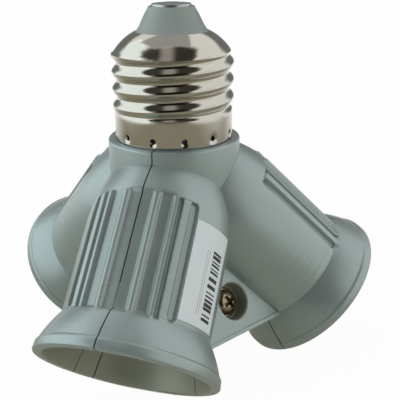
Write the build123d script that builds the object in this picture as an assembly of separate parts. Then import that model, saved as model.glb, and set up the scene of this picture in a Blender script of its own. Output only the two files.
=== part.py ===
"""Three-way lamp socket adapter: one screw cap above, three screw sockets splayed out below.

Millimetres, +Z up along the cap. The origin is on the cap's axis, in the plane where the cap's rim meets the
collar of the housing. Arm 1 points along -Y, and the other arms follow every 120 degrees.
"""

import os
from math import asin, atan2, cos, degrees, radians, sin, sqrt, tan

from build123d import *

# Layout of the three arms
arm_count = 3
first_arm_azimuth = -90.0
arm_tilt = 45.5
arm_meeting_depth = 6.7
seam_gap = 0.2

# Housing arm, measured along its own axis from the point where the three axes meet
barrel_wall = 1.7
dome_radius = 32.0
dome_end = 19.0
dome_start = 2.0
dome_bands = 2
flare_start = 38.3
flare_angle = 34.0
flare_bands = 2
flare_rise = 3.2
lip_band = 2.3
lip_rise = 0.35
mouth_wall = 2.0
mouth_at = 47.0

# Grip panel along the top of each arm, as angles to each side of the seam
panel_start = 14.0
panel_depth = 0.8
floor_strips = [(0.0, 10.0), (15.0, 25.5)]
fine_groove_angle = 31.5
fine_groove_width = 0.8
side_groove_angle = 42.75
side_groove_width = 1.7

# Collar and the spigot that the cap is staked to
collar_radius = 14.4
collar_bevel = 0.4
neck_depth = 14.0
neck_bore_radius = 10.6
spigot_radius = 12.3
spigot_height = 5.0

# Webs between the arms, flat and parallel to the two arms beside them
web_offset = 4.5
web_thickness = 2.0
web_edge_at = 39.9
screw_at = 32.6
counterbore_radius = 4.0
counterbore_depth = 3.4
boss_wall = 0.8
boss_floor = 1.4
screw_clear_radius = 1.7

# Screws in the webs
screw_head_radius = 2.7
screw_head_height = 1.9
screw_head_side = 0.9
screw_crown_radius = 1.6
screw_shank_radius = 1.5
screw_length = 8.0
cross_width = 0.7
cross_length = 3.0
cross_depth = 1.1

# Bottom cover and hub
cover_top_depth = 31.0
cover_bottom_depth = 41.0
cover_plate = 2.0
cover_clearance = 0.25
pilot_clearance = 0.05
pilot_extra_depth = 0.5

# Screw cap, the common household size, about 26 mm over its thread
thread_pitch = 25.4 / 7
thread_crest_radius = 13.1
thread_root_radius = 12.15
thread_root_width = 2.7
thread_rooting = 0.2
thread_crest_width = 1.0
thread_start = 6.6
thread_height = 9.9
thread_phase = 156.0
skirt_radius = 12.75
skirt_sheet = 0.35
skirt_top = 6.4
skirt_shoulder = 0.8
rim_gap = 0.25
cap_bore_radius = 11.7
cap_shoulder = 18.2
cap_top_radius = 12.7
cap_hole_radius = 7.9
cap_dome_height = 4.4
cap_dome_lean = -20.0
cap_dome_bands = 3
cap_dome_sheet = 0.9
stake_count = 12
stake_first_angle = 28.5
stake_width = 1.5
stake_opening = 1.2
stake_height = 1.7
stake_lug_height = 0.45
stake_depth = 0.6
stake_pit_depth = 0.9
stake_clearance = 0.1

# Insulator and centre contact of the cap
insert_clearance = 0.1
insert_bore_radius = 9.4
insert_wall = 1.0
nose_base_radius = 7.8
nose_foot_radius = 6.9
nose_foot_height = 1.5
nose_top_radius = 5.1
nose_height = 5.4
contact_radius = 4.3
contact_thickness = 0.9
contact_bevel = 0.35
contact_shank_radius = 1.5
contact_shank_bottom = 11.0

# Neutral ring and its legs
ring_sheet = 0.5
ring_inner_radius = 8.8
leg_width = 3.0
leg_inset = 0.4
leg_height_on_arm = 6.4
leg_foot = 3.4

# Screw shell, base and contact tongue of each socket
shell_bore_radius = 12.3
shell_sheet = 0.5
shell_room = 0.9
shell_mouth_at = 34.0
shell_step_at = 22.2
shell_floor_at = 18.6
shell_hole_radius = 7.0
pocket_radius = 11.8
pocket_clearance = 0.1
base_back_at = 16.0
inner_bore_radius = 10.5
tongue_sheet = 0.5
tongue_width = 5.0
tongue_tail = 5.2
tongue_bend = 1.8
tongue_tip_at = 21.4
tongue_tip = 2.8
tab_at = 8.6
tab_width = 3.0
slot_clearance = 0.1

# Live star
star_sheet = 0.5
star_width = 3.0
star_radius = 4.0
star_bend_rise = 4.0
star_foot_back = 1.0
star_foot_front = 2.2

# Paper label on the first arm
label_start = 17.0
label_length = 20.5
label_near_angle = 47.0
label_far_angle = 87.0
label_thickness = 0.1
label_gap = 0.02

arm_pitch = 360.0 / arm_count
tilt = radians(arm_tilt)
half_pitch = radians(arm_pitch / 2)
far = 4 * mouth_at
overshoot = 1.0
shell_outer_radius = shell_bore_radius + shell_sheet
base_radius = pocket_radius - pocket_clearance
shell_cup_radius = base_radius - shell_sheet
barrel_bore_radius = shell_outer_radius + shell_room
barrel_radius = barrel_bore_radius + barrel_wall
lip_start_radius = barrel_radius + flare_rise
mouth_radius = lip_start_radius + lip_rise
mouth_bore_radius = mouth_radius - mouth_wall
counterbore_floor = web_offset - counterbore_depth
boss_seat = counterbore_floor - boss_floor
boss_radius = counterbore_radius + boss_wall
ring_top = spigot_height + ring_sheet
leg_radius = ring_inner_radius + leg_inset
cap_top = cap_shoulder + cap_dome_height
nose_top = cap_top + nose_height

# Lean of the webs from vertical, and half the angle between two neighbouring arm axes
web_lean = atan2(cos(half_pitch) * cos(tilt), sin(tilt))
arm_half_angle = asin(sin(half_pitch) * cos(tilt))


def ring_face(*points):
    """A closed straight-sided profile of (radius, height) points, ready to revolve about Z."""
    return Plane.XZ * make_face(Polyline(*points, close=True))


def tube(outer, inner, start, end):
    """A plain tube along Z between two heights."""
    return revolve(ring_face((inner, start), (outer, start), (outer, end), (inner, end)), Axis.Z)


def rod(radius, start, end):
    """A plain cylinder along Z between two heights."""
    return Pos(0, 0, start) * Cylinder(radius, end - start, align=(Align.CENTER, Align.CENTER, Align.MIN))


def azimuth_of(index):
    """The azimuth of an arm, counted from 0."""
    return first_arm_azimuth + index * arm_pitch


def arm_place(index):
    """The frame of an arm: Z out along its axis, X up out of its top, from where the three axes meet."""
    turn = radians(azimuth_of(index))
    outward = Vector(cos(turn), sin(turn), 0)
    up = Vector(0, 0, 1)
    along = outward * cos(tilt) - up * sin(tilt)
    above = outward * sin(tilt) + up * cos(tilt)
    return Plane(origin=(0, 0, -arm_meeting_depth), x_dir=above, z_dir=along)


def web_place(index):
    """The frame of the web after an arm: Z straight out of its face, Y up along it, from the same point."""
    turn = radians(azimuth_of(index)) + half_pitch
    outward = Vector(cos(turn), sin(turn), 0)
    across = Vector(-sin(turn), cos(turn), 0)
    out_of_face = outward * cos(web_lean) + Vector(0, 0, 1) * sin(web_lean)
    return Plane(origin=(0, 0, -arm_meeting_depth), x_dir=across, z_dir=out_of_face)


def on_each_arm(shape):
    """The same shape on all three arms, joined."""
    placed = [arm_place(index) * shape for index in range(arm_count)]
    return placed[0] + placed[1:]


def on_each_web(shape):
    """The same shape on all three webs, joined."""
    placed = [web_place(index) * shape for index in range(arm_count)]
    return placed[0] + placed[1:]


def arc_points(centre, radius, start_angle, end_angle, bands):
    """Points of a round stretch of a profile, evenly spaced, so that it revolves into a few tapered bands."""
    points = []
    for step in range(bands + 1):
        turn = radians(start_angle + (end_angle - start_angle) * step / bands)
        points.append((centre[0] + radius * cos(turn), centre[1] + radius * sin(turn)))
    return points


def arm_body():
    """Outside of one arm: rounded inner end, barrel, bell-shaped flare and lip."""
    dome_turn = degrees(asin((dome_end - dome_start) / dome_radius))
    dome = arc_points((barrel_radius - dome_radius, dome_end), dome_radius, -dome_turn, 0, dome_bands)
    lip_start = (lip_start_radius, mouth_at - lip_band)
    flare = bulging_arc((barrel_radius, flare_start), lip_start, flare_angle, flare_bands)
    profile = ring_face((0, dome_start), *dome, *flare, (mouth_radius, mouth_at), (0, mouth_at))
    return revolve(profile, Axis.Z)


def bulging_arc(start, end, lean, bands):
    """An arc of a profile that bulges outwards and leaves its first point at a lean from the axis."""
    rise = end[0] - start[0]
    run = end[1] - start[1]
    half_turn = lean - degrees(atan2(rise, run))
    radius = sqrt(rise**2 + run**2) / 2 / sin(radians(half_turn))
    centre = (start[0] - radius * cos(radians(lean)), start[1] + radius * sin(radians(lean)))
    return arc_points(centre, radius, -lean, 2 * half_turn - lean, bands)


def socket_hollow():
    """Room for one socket: the pocket of the base, the bore round the shell and the funnel."""
    profile = ring_face(
        (0, base_back_at),
        (pocket_radius, base_back_at),
        (pocket_radius, shell_step_at - shell_sheet - shell_room),
        (barrel_bore_radius, shell_step_at - shell_sheet - shell_room),
        (barrel_bore_radius, flare_start),
        (mouth_bore_radius, mouth_at),
        (mouth_bore_radius, mouth_at + overshoot),
        (0, mouth_at + overshoot),
    )
    return revolve(profile, Axis.Z)


def strip_cutter(start_angle, end_angle):
    """Cuts a recessed floor along the panel between two angles from the seam."""
    outer = barrel_radius + overshoot
    inner = barrel_radius - panel_depth
    edges = []
    for radius in (outer, inner):
        points = []
        for angle in (start_angle, (start_angle + end_angle) / 2, end_angle):
            points.append((radius * cos(radians(angle)), radius * sin(radians(angle))))
        edges.append(ThreePointArc(*points))
    edges.append(Line(edges[0] @ 0, edges[1] @ 0))
    edges.append(Line(edges[0] @ 1, edges[1] @ 1))
    return Pos(0, 0, panel_start) * extrude(make_face(edges), flare_start - panel_start)


def groove_cutter(angle, width, round_ends):
    """Cuts a narrow groove along the panel at an angle from the seam."""
    length = flare_start - panel_start
    if round_ends:
        outline = SlotOverall(length, width)
    else:
        outline = Rectangle(length, width)
    middle = panel_start + length / 2
    face_on_barrel = Plane(origin=(barrel_radius - panel_depth, 0, middle), x_dir=(0, 0, 1), z_dir=(1, 0, 0))
    cutter = face_on_barrel * extrude(outline, panel_depth + overshoot)
    return Rot(0, 0, angle) * cutter


def grip_cutters():
    """Everything cut into the grip panel of one arm, on both sides of its seam."""
    cutters = []
    for side in (-1, 1):
        for near, away in floor_strips:
            cutters.append(strip_cutter(side * near, side * away))
        cutters.append(groove_cutter(side * fine_groove_angle, fine_groove_width, False))
        cutters.append(groove_cutter(side * side_groove_angle, side_groove_width, True))
    return cutters


def web_plate():
    """One flat web with the boss of its screw, in the frame of the web."""
    wall_middle = (barrel_radius + barrel_bore_radius) / 2
    inset = sqrt(wall_middle**2 - web_offset**2)
    apex = inset / sin(arm_half_angle)
    half_edge = web_edge_at * tan(arm_half_angle) - inset / cos(arm_half_angle)
    corners = [(0, -apex), (half_edge, -web_edge_at), (-half_edge, -web_edge_at)]
    outline = make_face(Polyline(*corners, close=True))
    plate = Pos(0, 0, web_offset - web_thickness) * extrude(outline, web_thickness)
    boss = Pos(0, -screw_at, 0) * rod(boss_radius, boss_seat, web_offset)
    return plate + boss


def web_cutter():
    """The counterbore and the clearance hole of one web screw."""
    counterbore = rod(counterbore_radius, counterbore_floor, web_offset + overshoot)
    hole = rod(screw_clear_radius, boss_seat - overshoot, counterbore_floor + overshoot)
    return Pos(0, -screw_at, 0) * (counterbore + hole)


def housing():
    """The whole moulded housing before it is split into its three segments."""
    neck = rod(collar_radius, -neck_depth, 0)
    neck = chamfer(neck.edges().group_by(Axis.Z)[-1], collar_bevel)
    spigot = rod(spigot_radius, -overshoot, spigot_height)
    body = neck + spigot + on_each_arm(arm_body()) + on_each_web(web_plate())
    body -= on_each_arm(socket_hollow())
    body -= on_each_arm(rod(inner_bore_radius, 0, base_back_at + overshoot))
    body -= rod(neck_bore_radius, -arm_meeting_depth, spigot_height + overshoot)
    body -= on_each_web(web_cutter())
    for cutter in grip_cutters():
        body -= on_each_arm(cutter)
    pit_bottom = stake_height - stake_opening / 2 - stake_lug_height - stake_clearance
    pit_height = stake_height + stake_opening / 2 - pit_bottom
    pit = Box(stake_width + 2 * stake_clearance, 2 * stake_pit_depth, pit_height)
    for angle in stake_angles():
        body -= Rot(0, 0, angle) * Pos(0, spigot_radius, pit_bottom + pit_height / 2) * pit
    return body


def sector(index):
    """The third of space that belongs to the segment after an arm, less half the seam on each side."""
    step = seam_gap / 2 / sin(half_pitch)
    start = radians(azimuth_of(index))
    middle = start + half_pitch
    end = start + 2 * half_pitch
    apex = Vector(step * cos(middle), step * sin(middle))
    corners = [apex]
    for turn in (start, middle, end):
        corners.append(apex + Vector(far * cos(turn), far * sin(turn)))
    return extrude(make_face(Polyline(*corners, close=True)), far, both=True)


def stake_angles():
    """Where the cap's rim is punched into the spigot."""
    return [stake_first_angle + index * 360.0 / stake_count for index in range(stake_count)]


def cap_shell():
    """The cap's sheet shell: skirt, threaded length, domed top and the punched stakes."""
    shoulder = (cap_top_radius, cap_shoulder)
    dome = bulging_arc(shoulder, (cap_hole_radius, cap_top), cap_dome_lean, cap_dome_bands)
    outside = ring_face(
        (0, rim_gap),
        (skirt_radius, rim_gap),
        (skirt_radius, skirt_top),
        (thread_root_radius, skirt_top + skirt_shoulder),
        (thread_root_radius, cap_shoulder - skirt_shoulder),
        *dome,
        (0, cap_top),
    )
    inside = ring_face(
        (0, 0),
        (skirt_radius - skirt_sheet, 0),
        (skirt_radius - skirt_sheet, ring_top),
        (cap_bore_radius, ring_top),
        (cap_bore_radius, cap_shoulder),
        (cap_hole_radius, cap_top - cap_dome_sheet),
        (cap_hole_radius, cap_top + overshoot),
        (0, cap_top + overshoot),
    )
    shell = revolve(outside, Axis.Z) + thread_ridge() - revolve(inside, Axis.Z)
    punch = Pos(0, skirt_radius, stake_height) * Box(stake_width, 4 * skirt_sheet, stake_opening)
    lug_reach = skirt_sheet + stake_depth
    lug_at = stake_height - stake_opening / 2 - stake_lug_height / 2
    lug = Pos(0, skirt_radius - lug_reach / 2, lug_at) * Box(stake_width, lug_reach, stake_lug_height)
    for angle in stake_angles():
        shell -= Rot(0, 0, angle) * punch
        shell += Rot(0, 0, angle) * lug
    return shell


def thread_ridge():
    """The raised thread of the cap, swept along its helix and rooted in the shell's wall."""
    path = Helix(thread_pitch, thread_height, thread_root_radius, center=(0, 0, thread_start))
    root = thread_root_radius - thread_rooting
    profile = make_face(
        Polyline(
            (root, thread_start - thread_root_width / 2),
            (thread_crest_radius, thread_start - thread_crest_width / 2),
            (thread_crest_radius, thread_start + thread_crest_width / 2),
            (root, thread_start + thread_root_width / 2),
            close=True,
        )
    )
    return Rot(0, 0, thread_phase) * sweep(Plane.XZ * profile, path, is_frenet=True)


def cap_insert():
    """The insulator inside the cap, with the tapered nose that comes out through the dome."""
    outer = cap_bore_radius - insert_clearance
    shoulder = cap_shoulder - insert_clearance
    ceiling = shoulder - insert_wall
    seat = nose_top - contact_thickness
    seat_radius = contact_radius + insert_clearance
    shank_hole = contact_shank_radius + insert_clearance
    profile = ring_face(
        (insert_bore_radius, ring_top),
        (outer, ring_top),
        (outer, shoulder),
        (nose_base_radius, shoulder),
        (nose_base_radius, cap_top),
        (nose_foot_radius, cap_top + nose_foot_height),
        (nose_top_radius, nose_top),
        (seat_radius, nose_top),
        (seat_radius, seat),
        (shank_hole, seat),
        (shank_hole, ceiling),
        (insert_bore_radius, ceiling),
    )
    return revolve(profile, Axis.Z)


def centre_contact():
    """The contact button in the nose, with its shank."""
    seat = nose_top - contact_thickness
    profile = ring_face(
        (0, contact_shank_bottom),
        (contact_shank_radius, contact_shank_bottom),
        (contact_shank_radius, seat),
        (contact_radius, seat),
        (contact_radius, nose_top),
        (contact_radius - 2 * contact_bevel, nose_top + contact_bevel),
        (0, nose_top + contact_bevel),
    )
    return revolve(profile, Axis.Z)


def arm_to_section(along, above):
    """A point of an arm's upright middle plane, as (distance from the cap's axis, height)."""
    out = along * cos(tilt) + above * sin(tilt)
    height = -arm_meeting_depth - along * sin(tilt) + above * cos(tilt)
    return (out, height)


def neutral_ring():
    """The stamped ring on the spigot, with a leg bent down to the back of each socket base."""
    ring = tube(spigot_radius, ring_inner_radius, spigot_height, ring_top)
    bend_along = (leg_radius - leg_height_on_arm * sin(tilt)) / cos(tilt)
    foot = base_back_at - ring_sheet / 2
    middle = Polyline(
        (leg_radius, ring_top),
        arm_to_section(bend_along, leg_height_on_arm),
        arm_to_section(foot, leg_height_on_arm),
        arm_to_section(foot, leg_height_on_arm + leg_foot),
    )
    return ring + bent_legs(middle, ring_sheet, leg_width)


def bent_legs(middle, sheet, width):
    """A strip bent along a line of an arm's upright middle plane, once for each arm."""
    leg = Plane.XZ * extrude(trace(middle, sheet), width / 2, both=True)
    return [Rot(0, 0, azimuth_of(index)) * leg for index in range(arm_count)]


def socket_shell():
    """One socket's sheet shell: a cup at the back, then the straight wall that takes the lamp's cap."""
    cup = shell_cup_radius + shell_sheet
    profile = ring_face(
        (shell_hole_radius, shell_floor_at),
        (cup, shell_floor_at),
        (cup, shell_step_at - shell_sheet),
        (shell_outer_radius, shell_step_at - shell_sheet),
        (shell_outer_radius, shell_mouth_at),
        (shell_bore_radius, shell_mouth_at),
        (shell_bore_radius, shell_step_at),
        (shell_cup_radius, shell_step_at),
        (shell_cup_radius, shell_floor_at + shell_sheet),
        (shell_hole_radius, shell_floor_at + shell_sheet),
    )
    tab_middle = (base_back_at + shell_floor_at + shell_sheet) / 2
    tab = Box(shell_sheet, tab_width, shell_floor_at + shell_sheet - base_back_at)
    return revolve(profile, Axis.Z) + Pos(tab_at, 0, tab_middle) * tab


def socket_base():
    """One socket's insulating disc, with slots for the shell's tab and the tongue's leg."""
    disc = rod(base_radius, base_back_at, shell_floor_at)
    through = 2 * (shell_floor_at - base_back_at)
    tab_slot = Box(shell_sheet + 2 * slot_clearance, tab_width + 2 * slot_clearance, through)
    leg_slot = Box(tongue_sheet + 2 * slot_clearance, tongue_width + 2 * slot_clearance, through)
    disc -= Pos(tab_at, 0, shell_floor_at) * tab_slot
    disc -= Pos(-tongue_tail, 0, shell_floor_at) * leg_slot
    return disc


def contact_tongue():
    """The springy tongue that meets a lamp's centre contact, with a leg through the base."""
    low = shell_floor_at + tongue_sheet / 2
    high = tongue_tip_at - tongue_sheet / 2
    line = Polyline(
        (-tongue_tail, base_back_at),
        (-tongue_tail, low),
        (-tongue_bend, low),
        (0, high),
        (tongue_tip, high - tongue_sheet),
    )
    return Plane.XZ * extrude(trace(line, tongue_sheet), tongue_width / 2, both=True)


def live_star():
    """The stamped star under the centre contact, with a leg bent down to the back of each tongue's leg."""
    hub = rod(star_radius, contact_shank_bottom - star_sheet, contact_shank_bottom)
    leg_at = star_radius - star_sheet
    foot = base_back_at - star_sheet / 2
    knee = arm_to_section(foot, -tongue_tail - star_foot_back)
    middle = Polyline(
        (leg_at, contact_shank_bottom),
        (leg_at, knee[1] + star_bend_rise),
        knee,
        arm_to_section(foot, -tongue_tail + star_foot_front),
    )
    return hub + bent_legs(middle, star_sheet, star_width)


def web_screw():
    """A pan-head screw with a cross recess, in the frame of its web."""
    top = counterbore_floor + screw_head_height
    tip = counterbore_floor - screw_length
    profile = ring_face(
        (0, tip),
        (screw_shank_radius, tip),
        (screw_shank_radius, counterbore_floor),
        (screw_head_radius, counterbore_floor),
        (screw_head_radius, counterbore_floor + screw_head_side),
        (screw_crown_radius, top),
        (0, top),
    )
    screw = revolve(profile, Axis.Z)
    for turn in (0, 90):
        slot = Box(cross_length, cross_width, 2 * cross_depth)
        screw -= Rot(0, 0, turn) * Pos(0, 0, top) * slot
    return Pos(0, -screw_at, 0) * screw


def bottom_cover():
    """The hub that takes the three screws, with the plate that closes the underside between the webs."""
    hub = cover_block(boss_seat, cover_bottom_depth, cover_top_depth)
    plate_face = web_offset - web_thickness - cover_clearance
    plate = cover_block(plate_face, cover_bottom_depth, cover_bottom_depth - cover_plate)
    cover = hub + plate
    beside_barrel = rod(barrel_radius + cover_clearance, 0, far)
    beside_flare = rod(mouth_radius + cover_clearance, flare_start, far)
    cover -= on_each_arm(beside_barrel + beside_flare)
    cover -= on_each_web(Pos(0, -screw_at, 0) * rod(boss_radius + cover_clearance, boss_seat, web_offset))
    pilot_bottom = counterbore_floor - screw_length - pilot_extra_depth
    pilot = Pos(0, -screw_at, 0) * rod(screw_shank_radius + pilot_clearance, pilot_bottom, counterbore_floor)
    return cover - on_each_web(pilot)


def cover_block(face_offset, bottom_depth, top_depth):
    """A three-sided block between two depths, whose sides are parallel to the webs at an offset."""
    layers = []
    for depth in (bottom_depth, top_depth):
        below = depth - arm_meeting_depth
        inradius = (face_offset + below * sin(web_lean)) / cos(web_lean)
        corner = inradius / cos(half_pitch)
        points = []
        for index in range(arm_count):
            turn = radians(azimuth_of(index))
            points.append((corner * cos(turn), corner * sin(turn)))
        layers.append(Pos(0, 0, -depth) * make_face(Polyline(*points, close=True)))
    return loft(layers, ruled=True)


def paper_label():
    """The sticker on the side of the first arm."""
    inner = barrel_radius + label_gap
    outer = inner + label_thickness
    edges = []
    for radius in (inner, outer):
        points = []
        for angle in (label_near_angle, (label_near_angle + label_far_angle) / 2, label_far_angle):
            points.append((radius * cos(radians(-angle)), radius * sin(radians(-angle))))
        edges.append(ThreePointArc(*points))
    edges.append(Line(edges[0] @ 0, edges[1] @ 0))
    edges.append(Line(edges[0] @ 1, edges[1] @ 1))
    return arm_place(0) * Pos(0, 0, label_start) * extrude(make_face(edges), label_length)


def write(name, shape):
    """Writes one sub-part."""
    shape.label = name
    export_step(shape, os.path.join("parts", name + ".step"))


def main():
    os.makedirs("parts", exist_ok=True)
    write("cap_shell", cap_shell())
    write("cap_insert", cap_insert())
    write("centre_contact", centre_contact())
    write("neutral_ring", neutral_ring())
    write("live_star", live_star())
    whole = housing()
    shell = socket_shell()
    base = socket_base()
    tongue = contact_tongue()
    for index in range(arm_count):
        number = str(index + 1)
        write("housing_segment_" + number, whole & sector(index))
        write("socket_shell_" + number, arm_place(index) * shell)
        write("socket_base_" + number, arm_place(index) * base)
        write("contact_tongue_" + number, arm_place(index) * tongue)
    write("web_screws", Compound([web_place(index) * web_screw() for index in range(arm_count)]))
    write("bottom_cover", bottom_cover())
    write("paper_label", paper_label())


if __name__ == "__main__":
    main()
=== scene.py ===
# %% [markdown]
# # A three-way lamp socket adapter
# One screw cap feeds three splayed sockets. The CAD model gives every place and size, and this lesson
# dresses it: a moulded silver-grey housing in three segments, a rolled nickel cap, threaded socket shells
# and a few screws.

# %% Load the frame
import math

import bmesh
import bpy
import numpy as np
from mathutils import Matrix, Vector


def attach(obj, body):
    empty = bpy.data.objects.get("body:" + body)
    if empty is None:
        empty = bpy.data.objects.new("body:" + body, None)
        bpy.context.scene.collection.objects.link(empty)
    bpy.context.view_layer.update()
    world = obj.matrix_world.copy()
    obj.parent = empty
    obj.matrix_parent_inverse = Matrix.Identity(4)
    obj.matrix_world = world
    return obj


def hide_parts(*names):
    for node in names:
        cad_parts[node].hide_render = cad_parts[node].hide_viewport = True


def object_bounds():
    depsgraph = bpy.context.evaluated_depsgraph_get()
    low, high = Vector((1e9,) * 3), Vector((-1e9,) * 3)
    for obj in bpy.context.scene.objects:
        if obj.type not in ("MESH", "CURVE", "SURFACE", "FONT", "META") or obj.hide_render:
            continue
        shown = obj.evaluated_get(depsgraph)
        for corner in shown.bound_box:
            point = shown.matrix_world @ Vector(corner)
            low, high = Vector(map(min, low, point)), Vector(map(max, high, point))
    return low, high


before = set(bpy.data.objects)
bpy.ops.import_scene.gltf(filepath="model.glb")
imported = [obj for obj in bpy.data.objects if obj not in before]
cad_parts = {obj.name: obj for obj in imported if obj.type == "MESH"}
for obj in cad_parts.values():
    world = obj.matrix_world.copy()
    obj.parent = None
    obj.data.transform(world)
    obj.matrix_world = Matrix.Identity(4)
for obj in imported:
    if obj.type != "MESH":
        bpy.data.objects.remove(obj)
cad_box = [list(corner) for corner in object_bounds()]
print("CAD nodes:", len(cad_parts), "box:", cad_box)

# %% [markdown]
# ## Sizes and places
# All sizes are in millimetres, as in the CAD source, and only the finished meshes are turned into metres.
# Each arm has its own frame: Z runs out along the arm, X points out of its top, and the origin is where
# the axes meet. Each web has one too: Z comes straight out of its face and Y runs up along it. A piece
# can then be made as if it stood upright at the origin, which is far easier than working on a tilted arm.

# %% Sizes and places
MM = 0.001
ARMS = 3
ARM_TILT = math.radians(45.5)
MEETING_DEPTH = 6.7
FIRST_ARM = -90.0
HALF_PITCH = math.radians(180.0 / ARMS)
WEB_LEAN = math.atan2(math.cos(HALF_PITCH) * math.cos(ARM_TILT), math.sin(ARM_TILT))
ARM_HALF_ANGLE = math.asin(math.sin(HALF_PITCH) * math.cos(ARM_TILT))
MEETING_POINT = Vector((0, 0, -MEETING_DEPTH))
UP = Vector((0, 0, 1))


def frame_of(x_axis, z_axis, origin):
    """A placement matrix from two axes and an origin."""
    y_axis = z_axis.cross(x_axis)
    place = Matrix((x_axis, y_axis, z_axis)).transposed().to_4x4()
    place.translation = origin
    return place


def arm_turn(index):
    """Azimuth of an arm in radians."""
    return math.radians(FIRST_ARM + index * 360.0 / ARMS)


def arm_place(index):
    """Where an arm's own frame stands on the adapter."""
    outward = Vector((math.cos(arm_turn(index)), math.sin(arm_turn(index)), 0))
    along = outward * math.cos(ARM_TILT) - UP * math.sin(ARM_TILT)
    above = outward * math.sin(ARM_TILT) + UP * math.cos(ARM_TILT)
    return frame_of(above, along, MEETING_POINT)


def web_place(index, rise=0.0):
    """Where the frame of the web after an arm stands, or a point that is higher up its face."""
    turn = arm_turn(index) + HALF_PITCH
    outward = Vector((math.cos(turn), math.sin(turn), 0))
    across = Vector((-math.sin(turn), math.cos(turn), 0))
    out_of_face = outward * math.cos(WEB_LEAN) + UP * math.sin(WEB_LEAN)
    return frame_of(across, out_of_face, MEETING_POINT) @ Matrix.Translation((0, rise, 0))


print("web lean in degrees:", round(math.degrees(WEB_LEAN), 2))

# %% [markdown]
# ## Solids that can be joined
# Moulded plastic is easiest to make as a few turned or cut solids that are joined and hollowed with
# booleans. Booleans spoil smooth shading, so each solid first stores its own clean normals in a corner
# attribute. The boolean carries that attribute along, and the finished piece takes its shading from it. A
# second attribute notes where on an arm a corner is, so that a finish can follow the arm later.

# %% One solid
CREASE = math.radians(28)
SOFT_NORMAL = "soft_normal"
ARM_RUN = "arm_run"


def add_object(name, data):
    """A new object in the scene."""
    made = bpy.data.objects.new(name, data)
    bpy.context.scene.collection.objects.link(made)
    return made


def make_solid(name, points, faces, place=None, inside=0.0, sunk=None):
    """A mesh object from points in millimetres, shaded smooth up to a crease angle.

    It stores its normals, and as ARM_RUN how far along its own Z a corner is, whether it will be
    an inside wall, and how deep it is sunk in a panel; the housing's finish paints shade by the last two.
    """
    points = np.asarray(points, float)
    along = points[:, 2].copy()
    sunk = np.zeros(len(points)) if sunk is None else sunk
    if place is not None:
        matrix = np.array(place)
        points = points @ matrix[:3, :3].T + matrix[:3, 3]
    mesh = bpy.data.meshes.new(name)
    mesh.from_pydata((points * MM).tolist(), [], faces)
    build = bmesh.new()
    build.from_mesh(mesh)
    bmesh.ops.recalc_face_normals(build, faces=build.faces[:])
    build.to_mesh(mesh)
    build.free()
    mesh.polygons.foreach_set("use_smooth", [True] * len(mesh.polygons))
    mesh.set_sharp_from_angle(angle=CREASE)
    normals = np.zeros(len(mesh.loops) * 3)
    mesh.corner_normals.foreach_get("vector", normals)
    mesh.attributes.new(SOFT_NORMAL, "FLOAT_VECTOR", "CORNER").data.foreach_set("vector", normals)
    corners = [corner.vertex_index for corner in mesh.loops]
    runs = np.column_stack([along[corners], np.full(len(corners), inside), sunk[corners]])
    mesh.attributes.new(ARM_RUN, "FLOAT_VECTOR", "CORNER").data.foreach_set("vector", runs.ravel())
    return add_object(name, mesh)


print("edges are smooth up to", round(math.degrees(CREASE)), "degrees")

# %% [markdown]
# ## Forms that solids are made of
# Nearly all of the adapter was turned, drawn or moulded round an axis, so one helper turns a profile
# about Z. Another raises a flat outline, for the webs and the cutting tools.

# %% Turned and raised forms
ON_AXIS = 1e-6
BLOCK_FACES = [[0, 1, 2, 3], [4, 5, 6, 7], [0, 1, 5, 4], [1, 2, 6, 5], [2, 3, 7, 6], [3, 0, 4, 7]]


def turned(profile, angles, carve=None):
    """Points and faces of a profile of (radius, height) turned about Z; it may start or end on the axis."""
    profile = np.asarray(profile, float)
    columns = len(angles)
    points, rows, faces = [], [], []
    for radius, height in profile:
        if radius < ON_AXIS:
            rows.append([len(points)] * columns)
            points.append((0, 0, height))
            continue
        radii = np.full(columns, radius)
        if carve is not None:
            radii = radii - carve(height, angles)
        rows.append(list(range(len(points), len(points) + columns)))
        points.extend(zip(radii * np.cos(angles), radii * np.sin(angles), np.full(columns, height)))
    closed = profile[0][0] > ON_AXIS
    pairs = list(zip(rows, rows[1:])) + ([(rows[-1], rows[0])] if closed else [])
    for low, high in pairs:
        for j in range(columns):
            k = (j + 1) % columns
            corners = [low[j], low[k], high[k], high[j]]
            faces.append([c for i, c in enumerate(corners) if c not in corners[:i]])
    return points, [f for f in faces if len(f) > 2]


def even_angles(count):
    """Evenly spaced angles of a full turn."""
    return np.linspace(0, 2 * math.pi, count, endpoint=False)


def arc(centre, radius, start, end, steps):
    """Points of a round stretch of a profile, between two angles in degrees."""
    angles = np.radians(np.linspace(start, end, steps + 1))
    return [(centre[0] + radius * math.cos(a), centre[1] + radius * math.sin(a)) for a in angles]


def bulging_arc(start, end, lean, steps):
    """An arc of a profile that bulges outwards and leaves its first point at a lean from the axis."""
    rise, run = end[0] - start[0], end[1] - start[1]
    half_turn = lean - math.degrees(math.atan2(rise, run))
    radius = math.hypot(rise, run) / 2 / math.sin(math.radians(half_turn))
    slope = math.radians(lean)
    centre = (start[0] - radius * math.cos(slope), start[1] + radius * math.sin(slope))
    return arc(centre, radius, -lean, 2 * half_turn - lean, steps)


def prism(outline, low, high):
    """Points and faces of a flat outline raised along Z between two heights."""
    count = len(outline)
    points = [(x, y, low) for x, y in outline] + [(x, y, high) for x, y in outline]
    faces = [list(range(count)), list(range(count, 2 * count))]
    for j in range(count):
        k = (j + 1) % count
        faces.append([j, k, k + count, j + count])
    return points, faces


def rod(radius, start, end, place=None, count=72):
    """A plain round bar along Z."""
    points, faces = turned([(0, start), (radius, start), (radius, end), (0, end)], even_angles(count))
    return make_solid("rod", points, faces, place)


print("points of a small turned form:", len(turned([(0, 0), (1, 0), (1, 1), (0, 1)], even_angles(8))[0]))

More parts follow.
